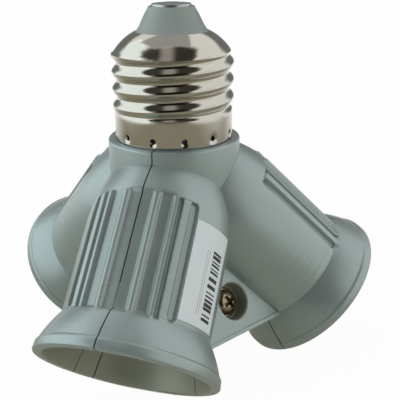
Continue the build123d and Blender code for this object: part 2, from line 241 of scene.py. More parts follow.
# %% [markdown]
# ## From solids to a finished piece
# Blender's manifold boolean is exact and fast on closed solids. A finished piece is plain mesh data with
# its own normals. It rides on the adapter's body and stands for the CAD nodes that it shows in more
# detail.

# %% Joining and finishing
LOST_NORMAL = 0.3


def combined(name, base, *steps):
    """The base solid after a row of booleans, as plain mesh data."""
    for operation, tool in steps:
        modifier = base.modifiers.new(operation.lower(), "BOOLEAN")
        modifier.operation = operation
        modifier.solver = "MANIFOLD"
        modifier.object = tool
    depsgraph = bpy.context.evaluated_depsgraph_get()
    mesh = bpy.data.meshes.new_from_object(base.evaluated_get(depsgraph))
    mesh.name = name
    base.modifiers.clear()
    return mesh


def discard(*solids):
    """Removes solids that have done their work."""
    for solid in solids:
        bpy.data.objects.remove(solid)


def use_soft_normals(mesh):
    """Shades a joined mesh with the normals that its solids carried through the booleans."""
    normals = np.zeros(len(mesh.loops) * 3)
    mesh.attributes[SOFT_NORMAL].data.foreach_get("vector", normals)
    normals = normals.reshape(-1, 3)
    face_of_corner = np.repeat(np.arange(len(mesh.polygons)), [p.loop_total for p in mesh.polygons])
    flat = np.zeros(len(mesh.polygons) * 3)
    mesh.polygons.foreach_get("normal", flat)
    flat = flat.reshape(-1, 3)[face_of_corner]
    turned_in = np.sum(normals * flat, axis=1) < 0
    normals[turned_in] *= -1
    lost = np.sum(normals * flat, axis=1) < LOST_NORMAL
    normals[lost] = flat[lost]
    normals /= np.linalg.norm(normals, axis=1)[:, None]
    mesh.polygons.foreach_set("use_smooth", [True] * len(mesh.polygons))
    mesh.normals_split_custom_set(normals.tolist())
    mesh.attributes.remove(mesh.attributes[SOFT_NORMAL])


def finished(name, mesh, material, slot, *nodes):
    """A finished piece: shaded, painted, riding on the body and standing for its CAD nodes."""
    if SOFT_NORMAL in mesh.attributes:
        use_soft_normals(mesh)
    mesh.materials.clear()
    mesh.materials.append(material)
    piece = add_object(name, mesh)
    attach(piece, "root")
    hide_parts(*nodes)
    print(name, "faces:", len(mesh.polygons))


kept_within = round(math.degrees(math.acos(LOST_NORMAL)))
print("normals are kept within", kept_within, "degrees of a face")

# %% [markdown]
# ## Nodes in few lines
# Shaders and Geometry Nodes are both trees of nodes. These helpers add a node, set its values and draw
# its links in one line, so that the trees below read like sums.

# %% Node helpers
NUMBER, COLOUR, VECTOR = "NodeSocketFloat", "NodeSocketColor", "NodeSocketVector"


def add_node(tree, kind, inputs=None, **settings):
    """Adds a node; each input, by label or number, is a value or a socket to link from."""
    node = tree.nodes.new(kind)
    for name, value in settings.items():
        setattr(node, name, value)
    for label, value in (inputs or {}).items():
        if isinstance(value, bpy.types.NodeSocket):
            tree.links.new(value, node.inputs[label])
        else:
            node.inputs[label].default_value = value
    return node


def maths(tree, operation, *values):
    """The result of a math node on numbers or sockets."""
    return add_node(tree, "ShaderNodeMath", dict(enumerate(values)), operation=operation).outputs[0]


def smooth_rise(tree, value, start, end):
    """A smooth change from 0 to 1 as a value goes from start to end."""
    values = {"Value": value, "From Min": start, "From Max": end}
    return add_node(tree, "ShaderNodeMapRange", values, interpolation_type="SMOOTHSTEP").outputs["Result"]


def blended(tree, how, share, colour, other):
    """A colour that takes on another one, or is multiplied by it, where a mask says so."""
    values = {"Factor": share, 6: colour, 7: (*other, 1)}
    return add_node(tree, "ShaderNodeMix", values, data_type="RGBA", blend_type=how).outputs[2]


def new_group(name, inputs, outputs):
    """An empty shader node group with named sockets, and the sockets to link from and to."""
    group = bpy.data.node_groups.new(name, "ShaderNodeTree")
    for direction, sockets in (("INPUT", inputs), ("OUTPUT", outputs)):
        for label, kind in sockets.items():
            group.interface.new_socket(label, in_out=direction, socket_type=kind)
    return group, group.nodes.new("NodeGroupInput").outputs, group.nodes.new("NodeGroupOutput").inputs


print("kinds of group socket:", NUMBER, COLOUR, VECTOR)

# %% [markdown]
# ## Shared surface effects
# The plastic and the metals share two effects: slow changes of tone across a piece, and a fine grain in
# the skin. They are built once as shader node groups with named inputs, and every material sets its own
# values.

# %% Shader groups
BUMP_DEPTH = 0.0002
BLOTCH_DETAIL, GRAIN_DETAIL = 4, 3


def surface_tone_group():
    """Slow blotches that lighten and darken a colour, and a matching change of roughness."""
    group, given, result = new_group(
        "surface_tone",
        {"Colour": COLOUR, "Amount": NUMBER, "Scale": NUMBER, "Roughness": NUMBER, "Spread": NUMBER},
        {"Colour": COLOUR, "Roughness": NUMBER},
    )
    where = add_node(group, "ShaderNodeTexCoord").outputs["Object"]
    noise = {"Vector": where, "Scale": given["Scale"], "Detail": BLOTCH_DETAIL}
    blotches = add_node(group, "ShaderNodeTexNoise", noise).outputs["Fac"]
    centred = maths(group, "SUBTRACT", blotches, 0.5)
    brighter = maths(group, "MULTIPLY_ADD", centred, given["Amount"], 1.0)
    toned = add_node(group, "ShaderNodeHueSaturation", {"Color": given["Colour"], "Value": brighter})
    rougher = maths(group, "MULTIPLY_ADD", centred, given["Spread"], given["Roughness"])
    group.links.new(toned.outputs["Color"], result["Colour"])
    group.links.new(rougher, result["Roughness"])
    return group


def skin_grain_group():
    """A bump for the fine grain of a moulded or rolled skin."""
    group, given, result = new_group("skin_grain", {"Scale": NUMBER, "Height": NUMBER}, {"Normal": VECTOR})
    where = add_node(group, "ShaderNodeTexCoord").outputs["Object"]
    noise = {"Vector": where, "Scale": given["Scale"], "Detail": GRAIN_DETAIL}
    grain = add_node(group, "ShaderNodeTexNoise", noise).outputs["Fac"]
    bump = {"Strength": given["Height"], "Distance": BUMP_DEPTH, "Height": grain}
    group.links.new(add_node(group, "ShaderNodeBump", bump).outputs["Normal"], result["Normal"])
    return group


surface_tone = surface_tone_group()
skin_grain = skin_grain_group()
print("shader groups:", surface_tone.name, skin_grain.name)

# %% [markdown]
# ## Finishes
# The housing is a plastic with silver flake in it, so it is partly metallic under a thin gloss. The cap
# is bright nickel with a faint warm tint, the screws are yellow passivated steel, and the strips inside
# are plain brass. A short function mixes each finish from the two shared effects, because the finishes
# differ only in their values.

# %% Finishes
def finish(name, colour, roughness, blotches, grain, **sockets):
    """A material that runs its colour through the shared effects; constant sockets are set on the shader.

    Blotches are an amount, a scale and a spread of roughness. Grain is a scale and a height.
    """
    material = bpy.data.materials.new(name)
    material.use_nodes = True
    tree = material.node_tree
    shader = tree.nodes["Principled BSDF"]
    for label, value in sockets.items():
        shader.inputs[label.replace("_", " ")].default_value = value
    tone = {"Colour": (*colour, 1), "Roughness": roughness}
    tone.update(zip(("Amount", "Scale", "Spread"), blotches))
    toned = add_node(tree, "ShaderNodeGroup", tone, node_tree=surface_tone)
    skin = add_node(tree, "ShaderNodeGroup", dict(zip(("Scale", "Height"), grain)), node_tree=skin_grain)
    tree.links.new(toned.outputs["Colour"], shader.inputs["Base Color"])
    tree.links.new(toned.outputs["Roughness"], shader.inputs["Roughness"])
    tree.links.new(skin.outputs["Normal"], shader.inputs["Normal"])
    return material


grey_moulding = finish(
    "grey_moulding", (0.36, 0.43, 0.42), 0.38, (0.25, 90, 0.12), (1500, 0.05),
    Metallic=0.6, Coat_Weight=0.2, Coat_Roughness=0.18,
)
nose_moulding = finish("nose_moulding", (0.285, 0.33, 0.31), 0.42, (0.2, 120, 0.1), (1500, 0.06))
base_moulding = finish("base_moulding", (0.13, 0.125, 0.115), 0.5, (0.3, 120, 0.1), (1500, 0.08))
label_paper = finish("label_paper", (0.74, 0.80, 0.81), 0.55, (0.06, 300, 0.05), (2500, 0.05))
bright_nickel, contact_metal, shell_metal, strip_brass, screw_metal = (
    finish(*values, Metallic=1.0)
    for values in (
        ("bright_nickel", (0.58, 0.56, 0.50), 0.12, (0.08, 200, 0.08), (900, 0.015)),
        ("contact_metal", (0.50, 0.535, 0.525), 0.32, (0.1, 300, 0.1), (2000, 0.03)),
        ("shell_metal", (0.45, 0.42, 0.37), 0.30, (0.2, 200, 0.15), (1200, 0.03)),
        ("strip_brass", (0.72, 0.55, 0.28), 0.28, (0.2, 250, 0.15), (1500, 0.03)),
        ("screw_metal", (0.36, 0.30, 0.21), 0.16, (0.2, 400, 0.15), (2500, 0.03)),
    )
)
print("finishes:", len(bpy.data.materials))

# %% [markdown]
# ## Painted shade and ring marks
# The inside walls of the housing are painted warmer and darker than its outside, as painted shade, and are
# duller. The sunk floors of the panel are painted a little darker, as painted shade in the recess, and faint
# rings show on the barrels, as where plastic slows in a mould. All three follow the arm, so the finish reads
# the attribute that the solids carry, and not a place in space.

# %% Painted shade and rings on the housing
# Painted shade: a warm, darker tint on inside walls and a darker tint on sunk floors stand in for shade.
INSIDE_PAINTED_SHADE, INSIDE_DULLNESS = (1.08, 0.96, 0.80), 0.14
SUNK_PAINTED_SHADE = (0.83, 0.82, 0.80)
RINGS = {"Pitch": 1.1, "Start": 24.0, "End": 34.0, "Stop": 38.3, "Left": 0.12}
RING_STRENGTH = 0.6


def ring_marks_group():
    """Heights of faint rings round an arm, from 0 to 1.

    They grow from Start to End along the arm, and past Stop only the share Left of them is there.
    """
    labels = ("Along", "Pitch", "Start", "End", "Stop", "Left")
    group, given, result = new_group("ring_marks", dict.fromkeys(labels, NUMBER), {"Height": NUMBER})
    turns = maths(group, "DIVIDE", given["Along"], given["Pitch"])
    noise = {"W": turns, "Scale": 1.0, "Detail": 1.0}
    wave = add_node(group, "ShaderNodeTexNoise", noise, noise_dimensions="1D").outputs["Fac"]
    grown = smooth_rise(group, given["Along"], given["Start"], given["End"])
    stopped = maths(group, "GREATER_THAN", given["Along"], given["Stop"])
    levels = {"Value": stopped, "To Min": grown, "To Max": given["Left"]}
    kept = add_node(group, "ShaderNodeMapRange", levels).outputs["Result"]
    height = maths(group, "MULTIPLY", wave, kept)
    group.links.new(height, result["Height"])
    return group


def shade_and_ring_arms(material):
    """Paints shade on the inside walls and sunk floors of a finish, dulls the inside and adds rings, from
    ARM_RUN.
    """
    tree = material.node_tree
    shader = tree.nodes["Principled BSDF"]
    sockets = [shader.inputs[label] for label in ("Base Color", "Roughness", "Normal")]
    colour, roughness, normal = (socket.links[0].from_socket for socket in sockets)
    run = add_node(tree, "ShaderNodeAttribute", attribute_name=ARM_RUN).outputs["Vector"]
    along, inside, sunk = add_node(tree, "ShaderNodeSeparateXYZ", {"Vector": run}).outputs
    # Painted shade: the inside walls and the sunk floors are darkened in their colour.
    colour = blended(tree, "MULTIPLY", inside, colour, INSIDE_PAINTED_SHADE)
    colour = blended(tree, "MULTIPLY", sunk, colour, SUNK_PAINTED_SHADE)
    roughness = maths(tree, "MULTIPLY_ADD", inside, INSIDE_DULLNESS, roughness)
    rings = add_node(tree, "ShaderNodeGroup", {"Along": along, **RINGS}, node_tree=ring_marks_group())
    bump = {"Strength": RING_STRENGTH, "Distance": BUMP_DEPTH, "Normal": normal}
    bump["Height"] = rings.outputs["Height"]
    normal = add_node(tree, "ShaderNodeBump", bump).outputs["Normal"]
    for socket, source in zip(sockets, (colour, roughness, normal)):
        tree.links.new(source, socket)


shade_and_ring_arms(grey_moulding)
print("nodes in the housing's finish:", len(grey_moulding.node_tree.nodes))

# %% [markdown]
# ## Pieces that keep their CAD shape
# The strips, tongues, bases and cover are simple pressed or moulded forms, and the CAD shape of each is
# right as it is. They only take a better finish.

# %% Finishes of the CAD nodes
numbers = range(1, ARMS + 1)
for material, names in (
    (strip_brass, ["neutral_ring", "live_star"] + [f"contact_tongue_{number}" for number in numbers]),
    (base_moulding, [f"socket_base_{number}" for number in numbers]),
    (grey_moulding, ["bottom_cover"]),
):
    for name in names:
        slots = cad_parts[name].data.materials
        slots.clear()
        slots.append(material)
    print(material.name, "on", ", ".join(names))

# %% [markdown]
# ## The grip panel
# A ribbed panel on top of each arm gives the fingers a hold. On the unrolled barrel every strip of it is
# a rectangle or a slot, so a list of angles from the seam says where its floors, lands and grooves are.
# The two sides are alike, so only one is listed.

# %% Strips of the grip panel
BARREL = 15.4


def both_sides(strips):
    """Strips on one side of the seam, and their mirror images."""
    return strips + [(-end, -start, *more) for start, end, *more in strips]


def groove(middle, width, rounded):
    """A groove as two angles, from its middle and its width."""
    half = math.degrees(width / 2 / BARREL)
    return middle - half, middle + half, rounded


FLOORS = [(-10.0, 10.0, 0.05)] + both_sides([(15.0, 25.5, 0.2)])
LANDS = both_sides([(10.0, 15.0), (25.5, 30.0), (33.0, 39.6)])
GROOVES = both_sides([groove(31.5, 0.8, False), groove(42.75, 1.7, True)])
print("strips of the panel:", len(FLOORS + LANDS + GROOVES))

# %% [markdown]
# ## Carving the panel
# The distance from a point to the edge of a strip gives a soft wall, as a real mould has. Floors and grooves
# go in, and the lands between them run straight out of the domed end of the arm. One rule for every point is
# simpler than cutting and rounding each rib.

# %% Depth of the panel
DOME_RADIUS, DOME_START, DOME_END = 32.0, 2.0, 19.0
FLARE_START = 38.3
PANEL_START, PANEL_DEPTH = 13.8, 0.8
RUN_OUT, RUN_OUT_SHARE = 1.4, 0.7
GROOVE_SOFT, FLOOR_SOFT = 0.5, 1.0


def dome_fall(heights):
    """How far the rounded inner end of an arm lies below its barrel."""
    back = np.maximum(DOME_END - heights, 0)
    return DOME_RADIUS - np.sqrt(DOME_RADIUS**2 - back**2)


def soft_step(share):
    """A smooth rise from 0 to 1."""
    share = np.clip(share, 0, 1)
    return share * share * (3 - 2 * share)


def strip_wall(height, angles, start, end, soft, rounded=False, first=PANEL_START):
    """How far a point of the barrel is inside a strip, from 0 outside it to 1 within its soft walls."""
    across = BARREL * (angles - math.radians((start + end) / 2))
    half_width = BARREL * math.radians((end - start) / 2)
    beyond = max(first - height, height - FLARE_START)
    if rounded:
        distance = np.hypot(np.maximum(beyond + half_width, 0), across) - half_width
    else:
        distance = np.maximum(np.abs(across) - half_width, beyond)
    return soft_step(0.5 - distance / soft)


def grip_panel(height, angles):
    """Depth of the panel at a height, for each angle; a floor deepens a little away from the seam."""
    signed = (angles + math.pi) % (2 * math.pi) - math.pi
    fall = dome_fall(height)
    run_out = soft_step(RUN_OUT_SHARE + (height - PANEL_START) / RUN_OUT)
    depth = np.zeros(len(angles))
    for start, end, crown in FLOORS:
        inner, outer = (0, end) if start < 0 < end else sorted((abs(start), abs(end)))
        lean = (np.degrees(np.abs(signed)) - inner) / (outer - inner) - 0.5
        floor_depth = max(PANEL_DEPTH - fall, 0) * run_out * (1 + crown * lean)
        wall = strip_wall(height, signed, start, end, FLOOR_SOFT, first=DOME_START)
        depth = np.maximum(depth, floor_depth * wall)
    for start, end, rounded in GROOVES:
        depth = np.maximum(depth, PANEL_DEPTH * strip_wall(height, signed, start, end, GROOVE_SOFT, rounded))
    for start, end in LANDS:
        depth = depth - fall * strip_wall(height, signed, start, end, GROOVE_SOFT)
    return depth


halfway = (DOME_END + FLARE_START) / 2
deepest = grip_panel(halfway, even_angles(360)).max()
print("deepest carving halfway along the barrel, in mm:", round(float(deepest), 2))

# %% [markdown]
# ## The housing arm
# An arm is a turned form: a rounded inner end, a straight barrel, then a bell with a soft ridge and a rolled
# rim. Columns and rows of points stand close together where the panel has its walls and ends, so that the
# carving comes out clean, and far apart elsewhere.

# %% Columns round an arm
COLUMN_STEP, COLUMN_ROOM, WALL_COLUMNS = 4.0, 0.2, 9


def panel_angles():
    """Columns of points round an arm, close together at the walls of the panel."""
    walls = [(strip, FLOOR_SOFT) for strip in FLOORS] + [(strip, GROOVE_SOFT) for strip in GROOVES]
    edges = [(edge, math.degrees(soft / 2 / BARREL)) for strip, soft in walls for edge in strip[:2]]
    columns = set(np.arange(-180.0, 180.0, COLUMN_STEP).tolist())
    for edge, reach in edges:
        columns -= {c for c in columns if abs(c - edge) < reach + COLUMN_ROOM}
    for edge, reach in edges:
        columns |= {round(edge + step, 3) for step in np.linspace(-reach, reach, WALL_COLUMNS)}
    return np.radians(sorted(columns))


print("columns of points round an arm:", len(panel_angles()))

# %% Arms of the housing
BORE, FLARE_ANGLE = 13.7, 34.0
LIP_START, LIP_RADIUS, LIP_STEP, LIP_RAMP = 44.5, 18.5, 0.42, 0.6
MOUTH, MOUTH_RADIUS, MOUTH_BORE = 47.0, 18.95, 16.95
BASE_BACK, SOCKET_POCKET, POCKET_END = 16.0, 11.8, 20.8
RIM_ROUND, RIM_OVERHANG, FUNNEL_BULGE = 0.45, 0.1, 0.35


def arm_profile():
    """The outside of an arm, from its inner end to its rim, with close rows at the ends of the panel."""
    heights = np.concatenate(
        [
            np.linspace(DOME_START, PANEL_START - 1.2, 11),
            np.arange(PANEL_START - 1.0, PANEL_START + 1.2, 0.1),
            np.linspace(PANEL_START + 1.4, FLARE_START - 1.4, 9),
            np.arange(FLARE_START - 1.2, FLARE_START - 0.05, 0.1),
        ]
    )
    profile = [(0, DOME_START)] + list(zip(BARREL - dome_fall(heights), heights))
    profile += bulging_arc((BARREL, FLARE_START), (LIP_RADIUS, LIP_START), FLARE_ANGLE, 10)
    ridge = (LIP_RADIUS + LIP_STEP, LIP_START + LIP_RAMP)
    profile += [(LIP_RADIUS + 0.12, LIP_START + 0.1), (ridge[0] - 0.06, ridge[1] - 0.15), ridge]
    profile += arc((MOUTH_RADIUS + RIM_OVERHANG - RIM_ROUND, MOUTH - RIM_ROUND), RIM_ROUND, 5, 90, 5)
    return profile + [(0, MOUTH)]


def hollow_profile():
    """The room inside an arm: the pocket of the base, the bore, the funnel and the rounded inner rim."""
    funnel = [(BORE, POCKET_END), (BORE, FLARE_START)]
    for share in np.linspace(0.12, 0.9, 8):
        bulge = FUNNEL_BULGE * math.sin(math.pi * share)
        radius = BORE + (MOUTH_BORE - BORE) * share + bulge
        funnel.append((radius, FLARE_START + (MOUTH - FLARE_START) * share))
    rim = arc((MOUTH_BORE + RIM_ROUND, MOUTH - RIM_ROUND), RIM_ROUND, 180, 90, 4)
    pocket = [(0, BASE_BACK), (SOCKET_POCKET, BASE_BACK), (SOCKET_POCKET, POCKET_END)]
    return pocket + funnel + rim + [(MOUTH_BORE + RIM_ROUND, MOUTH + 2), (0, MOUTH + 2)]


arm_points, arm_faces = turned(arm_profile(), panel_angles(), grip_panel)
plain_points, _ = turned(arm_profile(), panel_angles())
plain_radii = np.linalg.norm(np.asarray(plain_points)[:, :2], axis=1)
carved_radii = np.linalg.norm(np.asarray(arm_points)[:, :2], axis=1)
# How deep each point is sunk in the panel, by which the finish paints shade on the floors.
arm_sunk = np.clip((plain_radii - carved_radii) / PANEL_DEPTH, 0, 1)
arms = [make_solid("arm", arm_points, arm_faces, arm_place(i), sunk=arm_sunk) for i in range(ARMS)]
print("points on an arm:", len(arm_points))

# %% [markdown]
# ## Neck and webs
# The neck is a turned collar with a spigot that goes up into the cap. A flat web closes the gap between
# each two arms. It has a boss for the screw, a thin rim along its edge and a slightly raised lap on one
# half.

# %% Neck
COLLAR, COLLAR_ROUND, NECK_DEPTH, NECK_BORE = 14.4, 0.5, 14.0, 10.6
SPIGOT, SPIGOT_HEIGHT = 12.3, 5.0
STAKE_FLOOR, GROOVE_LOW, GROOVE_HIGH = 11.2, 0.5, 3.0
neck_profile = [(0, -NECK_DEPTH), (COLLAR, -NECK_DEPTH)]
neck_profile += arc((COLLAR - COLLAR_ROUND, -COLLAR_ROUND), COLLAR_ROUND, 0, 90, 5)
neck_profile += [(SPIGOT, 0), (SPIGOT, GROOVE_LOW), (STAKE_FLOOR, GROOVE_LOW), (STAKE_FLOOR, GROOVE_HIGH)]
neck_profile += [(SPIGOT, GROOVE_HIGH), (SPIGOT, SPIGOT_HEIGHT), (0, SPIGOT_HEIGHT)]
neck = make_solid("neck", *turned(neck_profile, even_angles(120)))
print("points of the neck's profile:", len(neck_profile))

# %% Webs
WEB_FACE, WEB_THICKNESS, WEB_EDGE = 4.5, 2.0, 39.9
WEB_RIM_WIDTH, WEB_RIM_HEIGHT, WEB_RIM_SINK, WEB_LAP = 0.8, 0.35, 0.3, 0.16
SCREW_AT, POCKET_RADIUS, POCKET_DEPTH, POCKET_BEVEL = 32.6, 4.0, 3.4, 0.25
POCKET_FLOOR = WEB_FACE - POCKET_DEPTH
BOSS_RADIUS, BOSS_SEAT, BOSS_SINK = 4.8, POCKET_FLOOR - 1.4, 0.5

wall_middle = (BARREL + BORE) / 2
inset = math.sqrt(wall_middle**2 - WEB_FACE**2)
apex = inset / math.sin(ARM_HALF_ANGLE)
half_edge = WEB_EDGE * math.tan(ARM_HALF_ANGLE) - inset / math.cos(ARM_HALF_ANGLE)


def web_solids(index):
    """The plate of a web, its screw boss, the thin rim along its edge and the lap on one half of it."""
    rim_low, rim_high = WEB_FACE - WEB_RIM_SINK, WEB_FACE + WEB_RIM_HEIGHT
    rim_end, rim_inner = half_edge - WEB_RIM_WIDTH, WEB_RIM_WIDTH - WEB_EDGE
    plate = [(0, -apex), (-half_edge, -WEB_EDGE), (half_edge, -WEB_EDGE)]
    rim = [(-half_edge, -WEB_EDGE), (half_edge, -WEB_EDGE), (rim_end, rim_inner), (-rim_end, rim_inner)]
    lap = [(0, -WEB_EDGE), (0, -SCREW_AT), (-half_edge, -SCREW_AT), (-half_edge, -WEB_EDGE)]
    return [
        make_solid("plate", *prism(plate, WEB_FACE - WEB_THICKNESS, WEB_FACE), web_place(index)),
        rod(BOSS_RADIUS, BOSS_SEAT, WEB_FACE - BOSS_SINK, web_place(index, -SCREW_AT)),
        make_solid("rim", *prism(rim, rim_low, rim_high), web_place(index)),
        make_solid("lap", *prism(lap, rim_low, WEB_FACE + WEB_LAP), web_place(index)),
    ]


added = arms + [solid for i in range(ARMS) for solid in web_solids(i)]
print("solids to join to the neck:", len(added))

# %% [markdown]
# ## Hollowing the housing
# The sockets, the screws and the strips need room. Each hollow is one more turned solid, which is taken
# away. Two thin slots inside each bell are marks that the mould left there.

# %% Hollows
SEAM_GAP = 0.28
INNER_BORE, SCREW_HOLE = 10.5, 1.7
MOUTH_SLOTS = [(223.0, SEAM_GAP, MOUTH + 0.5, 0.9, 0.9), (120.0, 0.22, MOUTH, 0.6, 0.5)]


def mouth_slot(index, turn, width, end, bore_depth, mouth_depth):
    """A thin slot in the inside wall of a bell, with its depth at the bore and at the mouth."""
    points = []
    for along, bore, depth in ((FLARE_START, BORE, bore_depth), (end, MOUTH_BORE, mouth_depth)):
        points += [(bore - 1, -width / 2, along), (bore + depth, -width / 2, along)]
        points += [(bore + depth, width / 2, along), (bore - 1, width / 2, along)]
    place = arm_place(index) @ Matrix.Rotation(math.radians(turn), 4, "Z")
    return make_solid("slot", points, BLOCK_FACES, place)


def hollow_tools(index):
    """What is taken out of an arm, and out of the web after it."""
    arm, screw = arm_place(index), web_place(index, -SCREW_AT)
    wide = POCKET_RADIUS + POCKET_BEVEL
    pocket = [(0, POCKET_FLOOR), (POCKET_RADIUS, POCKET_FLOOR), (POCKET_RADIUS, WEB_FACE - POCKET_BEVEL)]
    pocket += [(wide, WEB_FACE), (wide, WEB_FACE + 1), (0, WEB_FACE + 1)]
    # inside=1.0 marks the walls of the arm's hollow and of the screw pocket, which the finish paints with
    # warm shade.
    return [
        make_solid("hollow", *turned(hollow_profile(), even_angles(120)), arm, inside=1.0),
        rod(INNER_BORE, 0, BASE_BACK + 1, arm),
        *[mouth_slot(index, *sizes) for sizes in MOUTH_SLOTS],
        make_solid("pocket", *turned(pocket, even_angles(64)), screw, inside=1.0),
        rod(SCREW_HOLE, BOSS_SEAT - 1, POCKET_FLOOR + 1, screw, 32),
    ]


removed = [tool for i in range(ARMS) for tool in hollow_tools(i)]
removed.append(rod(NECK_BORE, -MEETING_DEPTH, SPIGOT_HEIGHT + 1))
joins = [("UNION", solid) for solid in added]
cuts = [("DIFFERENCE", tool) for tool in removed]
housing_mesh = combined("housing", neck, *joins, *cuts)
discard(neck, *added, *removed)
print("housing faces:", len(housing_mesh.polygons))

# %% [markdown]
# ## Three segments
# The real housing is three mouldings that meet in a seam along the top of every arm. Underneath, the seam
# runs to one side of the arm. Each segment is the housing cut by a wedge, and a thin tongue in the wall
# of the bell closes the seam, as in a real joint, so that light hardly shows through it.

# %% Segments
FAR = 200.0
SEAM_FROM, SEAM_LEAN, SEAM_REACH, SECTOR_END = 30.0, 137.0, 22.0, 184.0
TONGUE_LINE = [(14.2, 33.0), (14.25, FLARE_START), (17.3, LIP_START), (17.95, MOUTH - 0.15)]
TONGUE_HALF, TONGUE_ROOT, TONGUE_TIP = 0.25, 0.22, 0.12
SEAM_STEP = SEAM_GAP / 2 / math.sin(HALF_PITCH)
SEAM_TURN = math.degrees(SEAM_GAP / 2 / BARREL)


def under_sector(index, first, start):
    """The sector of an arm, under the web, that goes with the segment after it."""
    edge = [(0.0, 0.0)]
    for turn in np.radians(np.linspace(first, SECTOR_END, 7)):
        edge.append((SEAM_REACH * math.cos(turn), SEAM_REACH * math.sin(turn)))
    return make_solid("sector", *prism(edge, start, FAR / 2), arm_place(index))


def seam_tongue(index, turn, side):
    """A thin tongue in the middle of a bell's wall, across the seam."""
    outline = [(radius - TONGUE_HALF, along) for radius, along in TONGUE_LINE]
    outline += [(radius + TONGUE_HALF, along) for radius, along in reversed(TONGUE_LINE)]
    low, high = sorted((side * TONGUE_ROOT, -side * TONGUE_TIP))
    upright = Matrix.Rotation(math.radians(turn), 4, "Z") @ Matrix.Rotation(math.radians(90), 4, "X")
    return make_solid("tongue", *prism(outline, low, high), arm_place(index) @ upright)


def segment_mesh(index):
    """The housing's mesh between two seams."""
    middle = arm_turn(index) + HALF_PITCH
    tip = Vector((math.cos(middle), math.sin(middle))) * SEAM_STEP
    corners = [tuple(tip)]
    for turn in (arm_turn(index), middle, middle + HALF_PITCH):
        corners.append((tip.x + FAR * math.cos(turn), tip.y + FAR * math.sin(turn)))
    wedge = make_solid("wedge", *prism(corners, -FAR, FAR))
    own = under_sector(index, SEAM_LEAN + SEAM_TURN, SEAM_FROM + SEAM_GAP)
    next_one = under_sector((index + 1) % ARMS, SEAM_LEAN - SEAM_TURN, SEAM_FROM)
    tongues = [seam_tongue(index, 0, 1), seam_tongue(index, SEAM_LEAN, -1)]
    shaping = [("UNION", own), ("DIFFERENCE", next_one)] + [("UNION", tongue) for tongue in tongues]
    room = add_object("room", combined("room", wedge, *shaping))
    whole = add_object("whole", housing_mesh)
    mesh = combined(f"segment_{index + 1}", whole, ("INTERSECT", room))
    discard(whole, wedge, own, next_one, room, *tongues)
    return mesh


for i in range(ARMS):
    segment = segment_mesh(i)
    finished(f"moulded_segment_{i + 1}", segment, grey_moulding, "housing", f"housing_segment_{i + 1}")

# %% [markdown]
# ## Rolled threads with Geometry Nodes
# The cap and the sockets are thin sheet, and their thread is rolled into it, so the inside follows the
# outside. One Geometry Nodes tree does it for all four: it moves every point of a plain turned shell in
# or out by a wave that climbs one pitch in each turn, and fades away at both ends. Its inputs are the
# sizes of the thread.

# %% Geometry trees
def new_tree(name, inputs):
    """An empty Geometry Nodes tree with named inputs and a material, and the sockets of its inputs."""
    tree = bpy.data.node_groups.new(name, "GeometryNodeTree")
    sockets = {"Geometry": "NodeSocketGeometry", **inputs, "Material": "NodeSocketMaterial"}
    for label, kind in sockets.items():
        tree.interface.new_socket(label, in_out="INPUT", socket_type=kind)
    tree.interface.new_socket("Geometry", in_out="OUTPUT", socket_type="NodeSocketGeometry")
    return tree, tree.nodes.new("NodeGroupInput").outputs


def close_tree(tree, geometry, material):
    """Ends a tree: copies become real faces, which take the material."""
    whole = add_node(tree, "GeometryNodeRealizeInstances", {"Geometry": geometry}).outputs["Geometry"]
    painted = add_node(tree, "GeometryNodeSetMaterial", {"Geometry": whole, "Material": material})
    add_node(tree, "NodeGroupOutput", {"Geometry": painted.outputs["Geometry"]})


def run_tree(carrier, tree, values):
    """Runs a Geometry Nodes tree on an object with named inputs and returns the plain mesh it makes."""
    modifier = carrier.modifiers.new(tree.name, "NODES")
    modifier.node_group = tree
    for item in tree.interface.items_tree:
        if item.item_type == "SOCKET" and item.in_out == "INPUT" and item.name in values:
            modifier[item.identifier] = values[item.name]
    depsgraph = bpy.context.evaluated_depsgraph_get()
    mesh = bpy.data.meshes.new_from_object(carrier.evaluated_get(depsgraph))
    carrier.modifiers.clear()
    return mesh


print("node groups so far:", len(bpy.data.node_groups))

# %% Thread tree
def thread_tree():
    """A Geometry Nodes tree that rolls a thread into a turned shell."""
    sizes = ("Pitch", "Depth", "Bottom", "Top", "Fade", "Phase")
    tree, given = new_tree("rolled_thread", dict.fromkeys(sizes, NUMBER))
    position = add_node(tree, "GeometryNodeInputPosition").outputs["Position"]
    x, y, z = add_node(tree, "ShaderNodeSeparateXYZ", {"Vector": position}).outputs
    turns = maths(tree, "DIVIDE", maths(tree, "ARCTAN2", y, x), 2 * math.pi)
    climbed = maths(tree, "DIVIDE", maths(tree, "SUBTRACT", z, given["Bottom"]), given["Pitch"])
    wave = maths(tree, "SUBTRACT", maths(tree, "SUBTRACT", climbed, turns), given["Phase"])
    swing = maths(tree, "COSINE", maths(tree, "MULTIPLY", wave, 2 * math.pi))
    fade_in = smooth_rise(tree, z, given["Bottom"], maths(tree, "ADD", given["Bottom"], given["Fade"]))
    fade_out = smooth_rise(tree, z, given["Top"], maths(tree, "SUBTRACT", given["Top"], given["Fade"]))
    reach = maths(tree, "MULTIPLY", maths(tree, "MULTIPLY", fade_in, fade_out), given["Depth"])
    push = maths(tree, "MULTIPLY", maths(tree, "MULTIPLY", swing, 0.5), reach)
    flat = add_node(tree, "ShaderNodeCombineXYZ", {"X": x, "Y": y}).outputs["Vector"]
    outward = add_node(tree, "ShaderNodeVectorMath", {0: flat}, operation="NORMALIZE").outputs["Vector"]
    offset = add_node(tree, "ShaderNodeVectorMath", {0: outward, "Scale": push}, operation="SCALE")
    moves = {"Geometry": given["Geometry"], "Offset": offset.outputs["Vector"]}
    moved = add_node(tree, "GeometryNodeSetPosition", moves)
    close_tree(tree, moved.outputs["Geometry"], given["Material"])
    return tree


